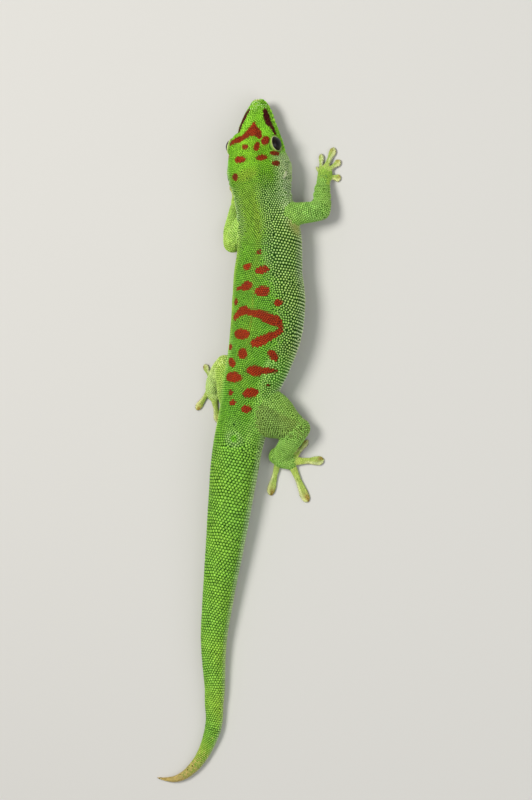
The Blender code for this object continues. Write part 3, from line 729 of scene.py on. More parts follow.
def apply_modifiers(target):
    graph = bpy.context.evaluated_depsgraph_get()
    mesh = bpy.data.meshes.new_from_object(target.evaluated_get(graph))
    target.modifiers.clear()
    old, target.data = target.data, mesh
    mesh.name = target.name
    bpy.data.meshes.remove(old)


def keep_largest(target):
    """Drops every loose scrap, so that the skin is one closed body."""
    shape = bmesh.new()
    shape.from_mesh(target.data)
    bmesh.ops.remove_doubles(shape, verts=shape.verts, dist=1e-6)
    left, groups = set(shape.verts), []
    while left:
        start = left.pop()
        group, edge = {start}, [start]
        while edge:
            for link in edge.pop().link_edges:
                fresh = [vert for vert in link.verts if vert in left]
                left.difference_update(fresh)
                group.update(fresh)
                edge += fresh
        groups.append(group)
    groups.sort(key=len)
    for group in groups[:-1]:
        bmesh.ops.delete(shape, geom=list(group), context="VERTS")
    shape.to_mesh(target.data)
    shape.free()


def smooth_points(points, edges, weight, rounds):
    """Moves each point towards the mean of its neighbours, by its own weight."""
    a, b = edges[:, 0], edges[:, 1]
    n = len(points)
    count = np.bincount(a, minlength=n) + np.bincount(b, minlength=n)
    for _ in range(rounds):
        total = np.stack([
            np.bincount(a, points[b, k], n) + np.bincount(b, points[a, k], n) for k in range(3)
        ], axis=1)
        points = points + weight[:, None] * (total / np.maximum(count, 1)[:, None] - points)
    return points


def read_values(rows, name, width=3, kind=float):
    """One value of each row of a mesh's table."""
    values = np.empty(len(rows) * width, kind)
    rows.foreach_get(name, values)
    return values.reshape(-1, width)


def read_points(mesh):
    """A mesh's points in millimetres in the body's own coordinates, and its normals."""
    points = read_values(mesh.vertices, "co") / MM - FRAME_SHIFT
    return points, read_values(mesh.vertex_normals, "vector")


def write_points(mesh, points):
    mesh.vertices.foreach_set("co", ((points + FRAME_SHIFT) * MM).ravel())
    mesh.update()


def nostril_gap(points, side):
    """From the middle of a nostril to each point."""
    return points - paired(NOSTRIL_AT, side)


def ear_reach(points, side):
    """Distance from the middle of an ear as a share of its own reach that way."""
    gap = points - paired(EAR_AT, side)
    turn = math.radians(EAR_TILT)
    ahead = gap[:, 1] * math.cos(turn) + gap[:, 2] * math.sin(turn)
    up = gap[:, 2] * math.cos(turn) - gap[:, 1] * math.sin(turn)
    return np.sqrt((gap[:, 0] / 3.0) ** 2 + (ahead / EAR_LONG) ** 2 + (up / EAR_NARROW) ** 2)


def carve(points, normals, depth):
    """Sinks the skin under its scales, and cuts the eye beds, mouth, nostrils, ears and folds."""
    push = depth.copy()
    y, z = points[:, 1], points[:, 2]
    fade = step(y, MOUTH[-1][0] - 0.3, MOUTH[-1][0] + 2.0)
    push += MOUTH_DEPTH * fade * hump(z - mouth_height(y), 0.0, MOUTH_HALF)
    for side in (-1, 1):
        away = norms(nostril_gap(points, side) / NOSTRIL_RADII)
        push += 0.85 * np.exp(-(away**4)) - 0.14 * hump(away, 1.7, 0.5)
        away = ear_reach(points, side)
        push += 0.35 * np.exp(-(away**4)) - 0.16 * hump(away, 1.5, 0.35)
    side_share = step(np.abs(normals[:, 0]), 0.45, 0.85) * step(z, 1.5, 4.0)
    for place in NECK_FOLDS:
        fold = np.interp(place, BODY_LENGTH, BODY_TABLE[:, 1]) + 0.25 * (z - 7)
        push += 0.4 * side_share * hump(y, fold, 0.55)
    points = points - normals * push[:, None]
    for side in (-1, 1):
        reach, out = eye_polar(points, side)
        bed = np.sqrt(np.maximum((EYE_RADIUS - EYE_BED) ** 2 - reach**2, 0.0))
        ball = np.sqrt(np.maximum(EYE_RADIUS**2 - reach**2, 0.0)) + EYE_COVER
        outside = step(reach, RIM_IN, RIM_OUT)
        move = np.maximum(ball - out, 0.0) * outside * (reach < EYE_RADIUS)
        move -= np.maximum(out - bed, 0.0) * (1 - outside)
        near = (out > 0) & (reach < RIM_OUT + 1.0)
        points = points + np.outer(np.where(near, move, 0), eye_basis(side)[:, 2])
    points[:, 2] = np.maximum(points[:, 2], FLOOR + depth * 0.8)
    return points


def digit_distance(points):
    """How far each point lies outside the nearest digit's own width."""
    best = np.full(len(points), 99.0)
    for digits in DIGITS.values():
        for root, tip, pad in digits:
            root, tip = np.array([*root, 0.6]), np.array([*tip, 0.6])
            ahead = tip - root
            t = np.clip((points - root) @ ahead / (ahead @ ahead), 0.15, 1)
            best = np.minimum(best, norms(points - root - np.outer(t, ahead)) - pad)
    return best


def melted_parts():
    """The whole animal as one rough closed mesh, melted from a loft for each part."""
    skin = loft("skin", body_rings(np.linspace(0, BODY_LENGTH[-1], 420), 96))
    parts = [lip_tube()]
    for side in (-1, 1):
        for radii, at in ((BROW_RADII, BROW_AT), (CHEEK_RADII, CHEEK_AT)):
            parts.append(ellipsoid("swelling", paired(at, side), radii, Matrix()))
        parts += [orbit(side), lid_ring(side)]
    parts += [loft(name, limb_rings(stations, *counts)) for name, stations, *counts in limb_list()]
    shape = bmesh.new()
    for piece in [skin] + parts:
        shape.from_mesh(piece.data)
    shape.to_mesh(skin.data)
    shape.free()
    for piece in parts:
        bpy.data.objects.remove(piece)
    change = skin.modifiers.new("melt", "REMESH")
    change.mode = "VOXEL"
    change.voxel_size = SKIN_VOXEL * MM
    apply_modifiers(skin)
    return skin


def build_skin():
    """One closed skin over the whole animal, without material or colour yet."""
    skin = melted_parts()
    mesh = skin.data
    edges = read_values(mesh.edges, "vertices", 2, np.int64)
    points, _ = read_points(mesh)
    everywhere = np.ones(len(points))
    for weight in (0.5, -0.52) * 3:
        points = smooth_points(points, edges, weight * everywhere, 1)
    near = np.zeros(len(points))
    for *middle, radius in FILLETS:
        near = np.maximum(near, fall(norms(points - np.array(middle)), radius * 0.7, radius * 1.7))
    points = smooth_points(points, edges, 0.5 * near, FILLET_ROUNDS)
    write_points(mesh, points)
    points, normals = read_points(mesh)
    thin = step(digit_distance(points), 0.5, 1.5)
    points = carve(points, normals, DIGIT_DEPTH + (COAT_DEPTH - DIGIT_DEPTH) * thin)
    write_points(mesh, smooth_points(points, edges, 0.25 * everywhere, 1))
    change = skin.modifiers.new("thin", "DECIMATE")
    change.ratio = SKIN_TRIANGLES / (2 * len(mesh.polygons))
    apply_modifiers(skin)
    keep_largest(skin)
    skin.data.shade_smooth()
    return skin


def sheet(rings, along):
    """The points of a loft, each with its place along and across, the girth there, and two directions."""
    grid = np.array(rings)
    grid[:, :, 2] = np.maximum(grid[:, :, 2], FLOOR)
    edge = np.linalg.norm(np.roll(grid, -1, axis=1) - grid, axis=2)
    girth = np.maximum(edge.sum(axis=1, keepdims=True), 0.01)
    around = np.concatenate([np.zeros((len(grid), 1)), np.cumsum(edge, axis=1)[:, :-1]], axis=1)
    across = around[:, [grid.shape[1] // 4]] - around
    across = (across + girth / 2) % girth - girth / 2
    values = [np.broadcast_to(v, across.shape)[:, :, None] for v in (np.array(along)[:, None], across, girth)]
    ways = np.gradient(grid, axis=0), np.roll(grid, 1, axis=1) - np.roll(grid, -1, axis=1)
    return np.concatenate([grid, *values, *map(unit, ways)], axis=2).reshape(-1, 12)


def point_tree(points):
    tree = KDTree(len(points))
    for i, point in enumerate(points):
        tree.insert(point, i)
    tree.balance()
    return tree


class Chart:
    """Tells for any point which part it belongs to, and its place along and across that part."""

    def __init__(self):
        self.names = ["body"]
        self.size = {"body": (BODY_LENGTH[-1], BODY_GIRTH)}
        places = np.arange(0.0, BODY_LENGTH[-1], 0.5)
        rings = body_rings(places, 120)
        tables = [sheet(rings, places)]
        body = tables[0][:, :3]
        centres = np.repeat(rings.mean(axis=1), rings.shape[1], axis=0)
        tree = point_tree(body)
        for name, stations, *counts in limb_list():
            rings = limb_rings(stations, *counts)
            table = sheet(rings, lengths_along(rings.mean(axis=1)))
            self.names.append(name)
            self.size[name] = (table[:, 3].max(), table[:, 5].max())
            near = [tree.find(point)[1] for point in table[:, :3]]
            depth = norms(body[near] - centres[near])
            tables.append(table[norms(table[:, :3] - centres[near]) > depth + 0.3])
        self.table = np.concatenate(tables)
        self.part = np.repeat(np.arange(len(tables)), [len(table) for table in tables])
        self.tree = point_tree(self.table[:, :3])

    def read(self, points):
        """Part, along, across, girth, the way along and the way across, for each point."""
        nearest = np.array([self.tree.find(p)[1] for p in points])
        row = self.table[nearest]
        gap, ahead, aside = points - row[:, :3], row[:, 6:9], row[:, 9:12]
        return {
            "part": self.part[nearest],
            "along": row[:, 3] + (gap * ahead).sum(axis=1),
            "across": row[:, 4] + (gap * aside).sum(axis=1),
            "girth": row[:, 5],
            "ahead": ahead,
            "aside": aside,
        }

    def on(self, place, *words):
        """Which of the places are on parts whose names start with one of these words."""
        return np.array([name.startswith(words) for name in self.names])[place["part"]]

    def on_left(self, place):
        return np.array(["_left" in name for name in self.names])[place["part"]]


def screen_colour(rgb):
    """A colour as drawn on a screen, turned into the light that a shader works with."""
    c = np.array(rgb, float) / 255
    return np.where(c <= 0.04045, c / 12.92, ((c + 0.055) / 1.055) ** 2.4)


COLOURS = {name: screen_colour(rows) for name, rows in PALETTE.items()}


def dorsal_border(along, across):
    """Share of the half girth where the back's fine scales give way to the flank's beads."""
    return np.interp(along, *BORDER) + (np.asarray(across) < 0) * (0.12 + 0.08 * step(along, 46, 58))


def share_of(place):
    """0 on the middle line of the upper side, 1 on that of the lower side."""
    return np.abs(place["across"] - DORSAL_SHIFT) / (place["girth"] / 2)


def body_spacing(along, share, across):
    """How far apart the scales of the body stand."""
    back, flank, belly, tail = (np.interp(along, *table) for table in SPACING.values())
    border = dorsal_border(along, across)
    size = back + (flank - back) * step(share, border - 0.1, border + 0.12)
    size = size + (belly - size) * step(share, 0.68, 0.74)
    a, c, long, wide = ARMPIT
    size = size * (0.62 + 0.38 * step(np.hypot((along - a) / long, (across - c) / wide), 0.6, 1.2))
    return size + (tail - size) * step(along, TAIL_START - 6, TAIL_START + 6)


def spacing(chart, place):
    """How far apart scales stand at each place."""
    size = body_spacing(place["along"], share_of(place), place["across"])
    for word, value in LIMB_SCALE.items():
        size = np.where(chart.on(place, word), value, size)
    return size


def row_of_seeds(ring, after, size, anchor, shift, slope):
    """Points a scale apart along one oblique ring, counted from the anchor, and their places across."""
    table = sheet([ring, after], [0.0, 1.0])[: len(ring)]
    girth = table[0, 5]
    start, reach = anchor * girth / 2, int(girth / 2 / size) + 1
    across = start + (np.arange(-reach, reach + 1) + shift) * size
    across = across[np.abs(across - start) < girth / 2 - size * 0.3]
    table = table[np.argsort(table[:, 4])]
    points, ahead = (between(across, table[:, 4], table[:, k : k + 3], girth) for k in (0, 6))
    wrapped = (across + girth / 2) % girth - girth / 2
    share = np.abs(wrapped - DORSAL_SHIFT) / (girth / 2)
    lag = slope * np.abs(across) * (share < 0.75)
    lag = lag + ROW_WAVE * np.sin(points[:, 0] * 0.45 + points[:, 1] * 0.31)
    return points + ahead * lag[:, None], share, wrapped


def body_seeds():
    """Scales of neck, trunk and tail in their rows; each family of rows keeps to its own zone."""
    families = (
        (BACK_START, BACK_END, 0.08, (0.0,), ROW_SLOPE, lambda border: (-1.0, border - 0.08)),
        (BACK_START, BACK_END, 0.6, (-0.5, 0.5), ROW_SLOPE, lambda border: (border + 0.1, 0.71)),
        (HEAD_END, TAIL_START, 0.95, (1.0,), 0.0, lambda border: (0.71, 2.0)),
        (TAIL_START, BODY_LENGTH[-1] - 0.5, 0.5, (0.0,), 0.1, lambda border: (-1.0, 2.0)),
    )
    found = []
    for start, end, probe, anchors, slope, zone in families:
        along, count = start, 0
        while along < end:
            size = float(body_spacing(along, probe, 1.0))
            ring, after = body_rings(np.array([along, along + 0.2]), 144)
            for anchor in anchors:
                points, share, across = row_of_seeds(ring, after, size, anchor, 0.5 * (count % 2), slope)
                low, high = zone(dorsal_border(along, across))
                own_side = len(anchors) == 1 or (points[:, 0] - ring[:, 0].mean()) * anchor >= 0
                found.append(points[(share > low) & (share <= high) & own_side])
            along += size * ROW_STEP
            count += 1
    found = np.concatenate(found)
    return found + RANDOM.normal(0, SEED_SPREAD, found.shape)


def limb_seeds():
    """Scales of limbs and digits in rings round them."""
    found = []
    for name, stations, _, _ in limb_list():
        size = next(value for word, value in LIMB_SCALE.items() if name.startswith(word))
        loose = THIGH_SPREAD if name.startswith("thigh") else SEED_SPREAD
        count = max(4, round(lengths_along(np.array(stations)[:, :3])[-1] / (size * ROW_STEP)))
        rings = limb_rings(stations, 60, count)
        for number, (ring, after) in enumerate(zip(rings, rings[1:])):
            points = row_of_seeds(ring, after, size, 0.0, 0.5 * (number % 2), ROW_SLOPE)[0]
            found.append(points + RANDOM.normal(0, loose, points.shape))
    return np.concatenate(found)


def close_pairs(points, reach):
    """All pairs of points that are nearer than this, found by sorting them into cells."""
    cells = np.floor((points - points.min(axis=0)) / reach).astype(np.int64) + 1
    dims = cells.max(axis=0) + 2
    key = (cells[:, 0] * dims[1] + cells[:, 1]) * dims[2] + cells[:, 2]
    order = np.argsort(key, kind="stable")
    ordered = key[order]
    pairs = []
    for dx, dy, dz in np.ndindex(3, 3, 3):
        other = key + ((dx - 1) * dims[1] + dy - 1) * dims[2] + dz - 1
        low = np.searchsorted(ordered, other, "left")
        count = np.searchsorted(ordered, other, "right") - low
        first = np.repeat(np.arange(len(points)), count)
        inner = np.arange(len(first)) - np.repeat(np.cumsum(count) - count, count)
        second = order[np.repeat(low, count) + inner]
        keep = first < second
        first, second = first[keep], second[keep]
        near = ((points[first] - points[second]) ** 2).sum(axis=1) < reach * reach
        pairs.append((first[near], second[near]))
    return [np.concatenate(part) for part in zip(*pairs)]


def thin_out(points, size):
    """Keeps points in their order of rank, and drops each that stands too near one already kept."""
    first, second = close_pairs(points, float(size.max()) * CROWD)
    near = norms(points[first] - points[second]) < CROWD * np.minimum(size[first], size[second])
    first, second = first[near], second[near]
    state = np.zeros(len(points), int)  # 0 open, 1 kept, -1 dropped
    while (state == 0).any():
        waiting = np.zeros(len(points), bool)
        waiting[second[(state[first] == 0) & (state[second] == 0)]] = True
        state[(state == 0) & ~waiting] = 1
        state[second[(state[first] == 1) & (state[second] == 0)]] = -1
    return state == 1


def room(points, size):
    """The size of each scale, fitted to the distance to its nearest five neighbours."""
    first, second = close_pairs(points, 2.2)
    one = np.concatenate([first, second])
    gap = np.tile(norms(points[first] - points[second]), 2)
    order = np.lexsort((gap, one))
    one, gap = one[order], gap[order]
    near = np.arange(len(one)) - np.searchsorted(one, np.arange(len(points)))[one] < 5
    count = np.bincount(one[near], minlength=len(points))
    mean = np.bincount(one[near], gap[near], len(points)) / np.maximum(count, 1)
    return np.clip(np.where(count > 2, mean, size), size * 0.8, size * 1.22)


def scatter(points, triangles, count):
    """Random points spread evenly over a mesh."""
    a, b, c = (points[triangles[:, k]] for k in range(3))
    area = norms(np.cross(b - a, c - a))
    pick = np.searchsorted(np.cumsum(area) / area.sum(), RANDOM.random(count))
    pick = np.minimum(pick, len(area) - 1)
    u, v = RANDOM.random((2, count))
    over = u + v > 1
    u[over], v[over] = 1 - u[over], 1 - v[over]
    return a[pick] + (b - a)[pick] * u[:, None] + (c - a)[pick] * v[:, None]


class Surface:
    """The skin's points, triangles and normals, and the nearest place on it to any point."""

    def __init__(self, mesh):
        mesh.calc_loop_triangles()
        self.points, self.normals = read_points(mesh)
        self.triangles = read_values(mesh.loop_triangles, "vertices", 3, np.int64)
        self.tree = BVHTree.FromPolygons(self.points.tolist(), self.triangles.tolist())

    def nearest(self, points):
        """Nearest place on the skin, the smooth normal there, and how far it is."""
        places, _, faces, gaps = zip(*[self.tree.find_nearest(p) for p in points.tolist()])
        normals = self.normals[self.triangles[list(faces)]].mean(axis=1)
        return np.array(places), unit(normals), np.array(gaps)


def special(points, normals, chart, place):
    """Where other things take the place of plain scales: eyes, lips, openings and toe pads."""
    off = np.abs(points[:, 2] - mouth_height(points[:, 1]))
    taken = (off < 1.25) & (points[:, 1] > MOUTH[-1][0] + 0.5) & (np.abs(normals[:, 2]) < 0.93)
    for side in (-1, 1):
        reach, out = eye_polar(points, side)
        taken |= (reach < 3.3) & (out > 0)
        taken |= (norms(nostril_gap(points, side)) < 0.75) | (ear_reach(points, side) < 1)
    return taken | (chart.on(place, "finger", "toe") & (normals[:, 2] < -0.55))


def place_scales(surface, chart):
    """Where each plain scale stands: rows first, then random ones wherever there is room."""
    points, _, gap = surface.nearest(np.concatenate([body_seeds(), limb_seeds()]))
    points = points[gap < 0.75]
    for count in FILL_POINTS:
        points = np.concatenate([points, scatter(surface.points, surface.triangles, count)])
        size = spacing(chart, chart.read(points))
        kept = thin_out(points, size)
        points, size = points[kept], size[kept]
    for _ in range(RELAX_ROUNDS):
        first, second = close_pairs(points, 1.5)
        gap = points[first] - points[second]
        far = np.maximum(norms(gap), 1e-6)
        want = EASE * (size[first] + size[second]) / 2
        near = far < want
        first, second, gap, far, want = first[near], second[near], gap[near], far[near], want[near]
        move = gap / far[:, None] * ((want - far) * 0.27)[:, None]
        for k in range(3):
            points[:, k] += np.bincount(first, move[:, k], len(points))
            points[:, k] -= np.bincount(second, move[:, k], len(points))
        points, normals, _ = surface.nearest(points)
    scales = chart.read(points)
    scales.update(size=room(points, spacing(chart, scales)), point=points, normal=normals)
    return pick(scales, ~special(points, normals, chart, scales))


def pick(rows, keep):
    return {key: value[keep] for key, value in rows.items()}


def stroke(along, across, nodes):
    """How far each place lies outside a stroke through the nodes."""
    best = np.full(len(along), 9.0)
    for (a0, c0, r0), (a1, c1, r1) in zip(nodes, nodes[1:]):
        length = math.hypot(a1 - a0, c1 - c0)
        t = np.clip(((along - a0) * (a1 - a0) + (across - c0) * (c1 - c0)) / length**2, 0, 1)
        away = np.hypot(along - a0 - t * (a1 - a0), across - c0 - t * (c1 - c0))
        best = np.minimum(best, away - r0 - t * (r1 - r0))
    return best


def markings(place):
    """How far each place on the body is marked, how red it is, and how far it is in the nose's stripe."""
    along, across = place["along"], place["across"]
    on_body = place["part"] == 0
    marked, red = np.zeros((2, len(along)))
    for a, c, long, wide, turn, strength in SPOTS:
        t = math.radians(turn)
        x = (along - a) * math.cos(t) - (across - c) * math.sin(t)
        y = (along - a) * math.sin(t) + (across - c) * math.cos(t)
        inside = fall((np.hypot(x / long, y / wide) - 1) * min(long, wide), -0.1, 0.3)
        marked, red = np.maximum(marked, inside), np.maximum(red, inside * strength)
    for nodes in (BACK_BAND, CHEVRON_FRONT, CHEVRON_LEFT, CHEVRON_RIGHT):
        inside = fall(stroke(along, across, nodes), -0.1, 0.3)
        marked, red = np.maximum(marked, inside), np.maximum(red, inside)
    nose = stroke(along, np.abs(across - 0.6) + 0.6, NOSE_STRIPE)
    return on_body * marked, on_body * red**3, on_body * fall(nose, -0.1, 0.3)


def body_layers(along, across, share, border, wave, jitter):
    """The colours of the body one over the other: the name of each, and how much of it there is."""
    right, left = across > 0, across < 0
    tail = step(along, 125, 135)
    loin = step(along, 88, 98) * (0.8 - 0.35 * step(along, 101, 108))
    low = step(share, 0.42, 0.6)
    layers = [
        ("nape", fall(along, 48, 60) * 0.85),
        ("nape", fall(np.abs(across - DORSAL_SHIFT), 1.0, 5.0) * 0.3 * wave),
        ("flank", step(share, border - 0.1, border + 0.12) * step(along, 28, 40)),
        # painted light: the upper left side of the trunk is lightened to lime
        ("lime", step(share, 0.24, 0.34) * left * step(along, 40, 52) * 0.45),
        ("edge", step(share, 0.42, 0.56) * step(along, 36, 50) * (0.8 - 0.25 * left)),
        ("bead", step(share, 0.2, 0.3) * fall(share, 0.48, 0.62) * loin),
        ("crown", fall(along + 2 * jitter, 24, 34)),
        ("temple", step(share, 0.27, 0.44) * step(along, 19, 25) * fall(along, 42, 56) * 0.9),
        ("snout", fall(along, 5, 14) * 0.9),
        ("spring", step(along, 5, 9) * fall(along, 14, 19) * step(np.abs(across - 0.8), 1, 3) * 0.45),
        ("rim", fall(along, 0.3, 1.0)),
        ("edge", fall(along, 2.0, 6.0) * (jitter > 0.5) * 0.4),
        ("tail", tail),
        # painted light: the lower left side of the tail is lightened to lime
        ("lime", step(along, 146, 160) * low * left * 0.5),
        ("edge", tail * low * right * (0.6 - 0.15 * step(along, 160, 200))),
        ("lime", step(along, 190, 235) * 0.45 * wave),
        ("tail_end", step(along + 3 * jitter, 243, 264)),
    ]
    for a, c, long, wide, name, strength in PATCHES:
        layers.append((name, fall(np.hypot((along - a) / long, (across - c) / wide), 0.5, 1.3) * strength))
    return layers + [("belly", step(share, 0.64, 0.74) * (1 - 0.35 * tail))]


def limb_layers(chart, place, share, wave):
    """The colours of limbs and digits one over the other, as for the body."""
    along, left = place["along"], chart.on_left(place)
    digits, toes = chart.on(place, "finger", "toe"), chart.on(place, "toe")
    longest = np.array([chart.size[name][0] for name in chart.names])[place["part"]]
    end = along / longest
    outer = place["across"] * np.where(left, -1, 1) < -3
    return [
        ("arm", chart.on(place, "upper", "forearm", "hand", "shank", "foot")),
        ("thigh", chart.on(place, "thigh")),
        # painted light: the left limbs are lightened with the sunlit and rim colours
        ("sunlit", left * 0.65),
        ("rim", left * (0.1 + 0.3 * chart.on(place, "shank", "foot"))),
        ("lime", chart.on(place, "hand") * 0.5),
        ("arm", (chart.on(place, "thigh") & outer) * 0.6),
        ("digit", digits),
        ("pad", digits * step(end, 0.6, 0.85) * (0.3 + 0.4 * wave)),
        ("pad_tip", digits * step(end, 0.78, 0.88) * fall(share, 0.1, 0.3) * 0.35 * (1 + toes)),
        ("rim", digits * step(end, 0.25, 0.5) * step(share, 0.28, 0.42) * 0.75),
        ("sole", (place["part"] > 0) * step(share, 0.6, 0.8)),
    ]


def tones(chart, place, points, jitter):
    """Three colours for each place: top, face and foot of the scale there, the top partly painted highlight
    and the foot partly painted shade.
    """
    along, across, body = place["along"], place["across"], place["part"] == 0
    share = share_of(place)
    x, y = points[:, 0], points[:, 1]
    wave = 0.5 + 0.25 * (np.sin(x * 0.41 + 1.3) + np.sin(y * 0.29 + x * 0.17))
    border = dorsal_border(along, across) + 0.02 * jitter
    marked, red, maroon = markings(place)
    fleck = (jitter > 2.9) & (share < 0.3) & body & (along < 110)
    layers = body_layers(along, across, share, border, wave, jitter) + limb_layers(chart, place, share, wave)
    layers += [("brown", marked), ("red", red), ("maroon", maroon)]
    layers.append(("red", fleck * step(along, 50, 60) * 0.5))
    for side in (-1, 1):
        reach, height = eye_polar(points, side)
        layers.append(("rim", fall(reach, 2.95, 3.1) * (height > 0) * 0.9))
        layers.append(("ear", fall(ear_reach(points, side), 0.85, 1.1)))
    out = np.tile(COLOURS["back"], (len(along), 1, 1))
    for name, weight in layers:
        out += (COLOURS[name] - out) * np.clip(weight, 0, 1)[:, None, None]
    shade = 1 + (0.09 + 0.04 * fall(along + 2 * jitter, 24, 34) * body) * np.clip(jitter, -2.2, 2)
    # painted shade: the left side of the tail's root is darkened
    shade *= 1 - 0.12 * step(along, 125, 135) * body * (across < -2) * fall(along, 150, 170)
    warm = 1 + 0.06 * (wave - 0.5)[:, None] * np.array([2.0, 0.6, -1.5])
    return out * shade[:, None, None] * warm[:, None, :]


def atlas(chart):
    """Sets the unwrapped parts side by side on one square map: the middle, start and scale of each."""
    length = chart.size["body"][0]
    pieces = [
        (("body", number), STRIP, BODY_GIRTH if number < 2 else TAIL_GIRTH, 1.0)
        for number in range(math.ceil(length / STRIP))
    ]
    for name in chart.names[1:]:
        length, girth = chart.size[name]
        zoom = 1.5 if name.startswith(("finger", "toe")) else 1.15
        pieces.append(((name, 0), (length + 3.0) * zoom, (girth + 1.0) * zoom, zoom))
    pieces.sort(key=lambda piece: -piece[1])
    spots, x, y, tall = {}, 2.0, 2.0, 0.0
    for key, high, wide, zoom in pieces:
        if x + wide > ATLAS - 2:
            x, y, tall = 2.0, y + tall + 1.0, 0.0
        spots[key] = (x + wide / 2, y + 1.0, zoom)
        x += wide + 1.0
        tall = max(tall, high)
    return spots


def map_places(chart, spots, place):
    """The place of each root on the map."""
    number = np.where(place["part"] == 0, (place["along"] // STRIP).astype(int), 0)
    uv = np.zeros((len(number), 2))
    for (name, strip), (x, y, zoom) in spots.items():
        here = (place["part"] == chart.names.index(name)) & (number == strip)
        uv[here, 0] = x + place["across"][here] * zoom
        uv[here, 1] = y + (place["along"][here] - strip * STRIP) * zoom
    return np.clip(uv / ATLAS, 0.002, 0.998)


def scale_faces(sides):
    """The faces of one scale: two bands, the top and the closed underside."""
    ring = range(2 * sides, 3 * sides)
    top = [(k, m, 3 * sides) for k, m in zip(ring, [*ring[1:], ring[0]])]
    return grid_faces(3, sides) + top + [tuple(reversed(range(sides)))]


def joined_mesh(name, points, faces):
    """One mesh of many like shapes, each a row of points, with the same faces in every one."""
    n, count = points.shape[:2]
    corners = np.concatenate(faces)
    starts = np.cumsum([0] + [len(face) for face in faces[:-1]])
    loops = (corners + (np.arange(n) * count)[:, None]).ravel()
    first = (starts + (np.arange(n) * len(corners))[:, None]).ravel()
    mesh = bpy.data.meshes.new(name)
    mesh.vertices.add(n * count)
    mesh.loops.add(len(loops))
    mesh.polygons.add(len(first))
    mesh.loops.foreach_set("vertex_index", loops.astype(np.int32))
    mesh.polygons.foreach_set("loop_start", first.astype(np.int32))
    mesh.update(calc_edges=True)
    write_points(mesh, points.reshape(-1, 3))
    return mesh, corners


def build_scales(name, rows, sides, look, slot, square=2.0):
    """One mesh of closed, domed scales. Each row has its own place, size, tilt, colours and map place."""
    n = len(rows["point"])
    angles = (np.arange(sides) + 0.5) * 2 * math.pi / sides
    circle = np.stack([np.cos(angles), np.sin(angles)])
    outline = circle * (np.abs(circle) ** square).sum(axis=0) ** (-1 / square)
    normal = rows["normal"]
    way = unit(rows["aside"] - normal * (rows["aside"] * normal).sum(axis=1)[:, None])
    along = np.cross(normal, way)
    along = along * np.sign((along * rows["ahead"]).sum(axis=1) + 1e-9)[:, None]
    keys = ("wide", "long", "lean", "height", "crown")
    wide, long, lean, high, crown = (rows[key][:, None] for key in keys)
    top, face, foot = (rows["tones"][:, k] for k in range(3))
    points = np.empty((n, 3 * sides + 1, 3))
    colours = np.ones((n, 3 * sides + 1, 4))
    uv = np.zeros((3 * sides + 1, 2))
    # painted highlight and shade on each scale: the foot ring takes the dark foot colour, the crown ring and
    # tip the pale top
    rings = (
        (1.0, 1.0, -0.7, 0.0, foot),
        (0.92, 0.92, 0.45, lean, 0.62 * face + 0.38 * foot),
        (crown, CROWN_SHARE, 0.92, lean, 0.65 * top + 0.35 * face),
    )
    for ring, (share, map_share, height, tilt, colour) in enumerate(rings):
        here = slice(ring * sides, (ring + 1) * sides)
        x, y = outline[0] * share, outline[1] * share
        points[:, here] = (
            rows["point"][:, None]
            + way[:, None] * (wide * x)[:, :, None]
            + along[:, None] * (long * y)[:, :, None]
            + normal[:, None] * (high * (height + tilt * y))[:, :, None]
        )
        colours[:, here, :3] = colour[:, None]
        uv[here] = circle.T * map_share
    points[:, -1] = rows["point"] + normal * high
    colours[:, -1, :3] = top
    points[:, :, 2] = np.maximum(points[:, :, 2], FLOOR + 0.01)
    mesh, corners = joined_mesh(name, points, scale_faces(sides))
    paint(mesh, colours.reshape(-1, 4))
    flat = uv[corners]
    flat[-sides:] = uv[0]
    places = (rows["map"][:, None, :] + PATCH * flat).reshape(-1, 2)
    mesh.uv_layers.new(name="OFBake").data.foreach_set("uv", places.astype(np.float32).ravel())
    mesh.shade_smooth()
    mesh.materials.append(look)
    made = shown(name, mesh)
    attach(made, "root")


def paint(mesh, colours):
    layer = mesh.color_attributes.new(name="Colour", type="FLOAT_COLOR", domain="POINT")
    layer.data.foreach_set("color", colours.astype(np.float32).ravel())


def dress(chart, spots, scales):
    """Adds size, tilt, colours and map place to the scales."""
    along, share, body = scales["along"], share_of(scales), scales["part"] == 0
    jitter = RANDOM.normal(0, 1, len(along))
    size = scales["size"] * (1 + 0.05 * RANDOM.normal(0, 1, len(along)))
    side = body * step(share, 0.4, 0.52) * fall(share, 0.66, 0.72)
    side = side * step(along, 40, 50) * fall(along, 108, 118)
    belly = body * step(share, 0.68, 0.74)
    tail = body * step(along, TAIL_START - 2, TAIL_START + 8)
    border = dorsal_border(along, scales["across"])
    bead = body * step(share, border - 0.04, border + 0.06) * (1 - tail) * (1 - belly)
    fill = 0.55 - 0.075 * bead + 0.02 * tail
    scales.update(
        wide=size * (fill + 0.06 * side),
        long=size * (fill - 0.09 * side + 0.08 * belly),
        height=size * (0.3 + 0.08 * bead - 0.08 * tail - 0.17 * belly),
        lean=0.35 * tail + 0.6 * belly,
        crown=CROWN_SHARE + (BEAD_CROWN - CROWN_SHARE) * np.maximum(bead, tail),
        tones=tones(chart, scales, scales["point"], jitter),
        map=map_places(chart, spots, scales),
    )


def build_coat(chart, scales, look, toe_look):
    """The plain scales, in pieces by region, each short of the limit of faces."""
    body, left = scales["part"] == 0, chart.on_left(scales)
    digit = chart.on(scales, "finger", "toe")
    arm = chart.on(scales, "upper", "forearm", "hand")
    leg = chart.on(scales, "thigh", "shank", "foot")
    length = np.searchsorted([start for _, start in COAT_LENGTHS[1:]], scales["along"], side="right")
    regions = {name: body & (length == number) for number, (name, _) in enumerate(COAT_LENGTHS)}
    for name, keep in (("arm", arm), ("leg", leg)):
        regions.update({f"{name}_left": keep & left, f"{name}_right": keep & ~left})
    for name, keep in regions.items():
        shape = (8, look, "scaled_skin", 2.2) if name == "tail" else (6, look, "scaled_skin")
        build_scales(f"scales_{name}", pick(scales, keep), *shape)
    build_scales("scales_digits", pick(scales, digit), 6, toe_look, "digit_skin")


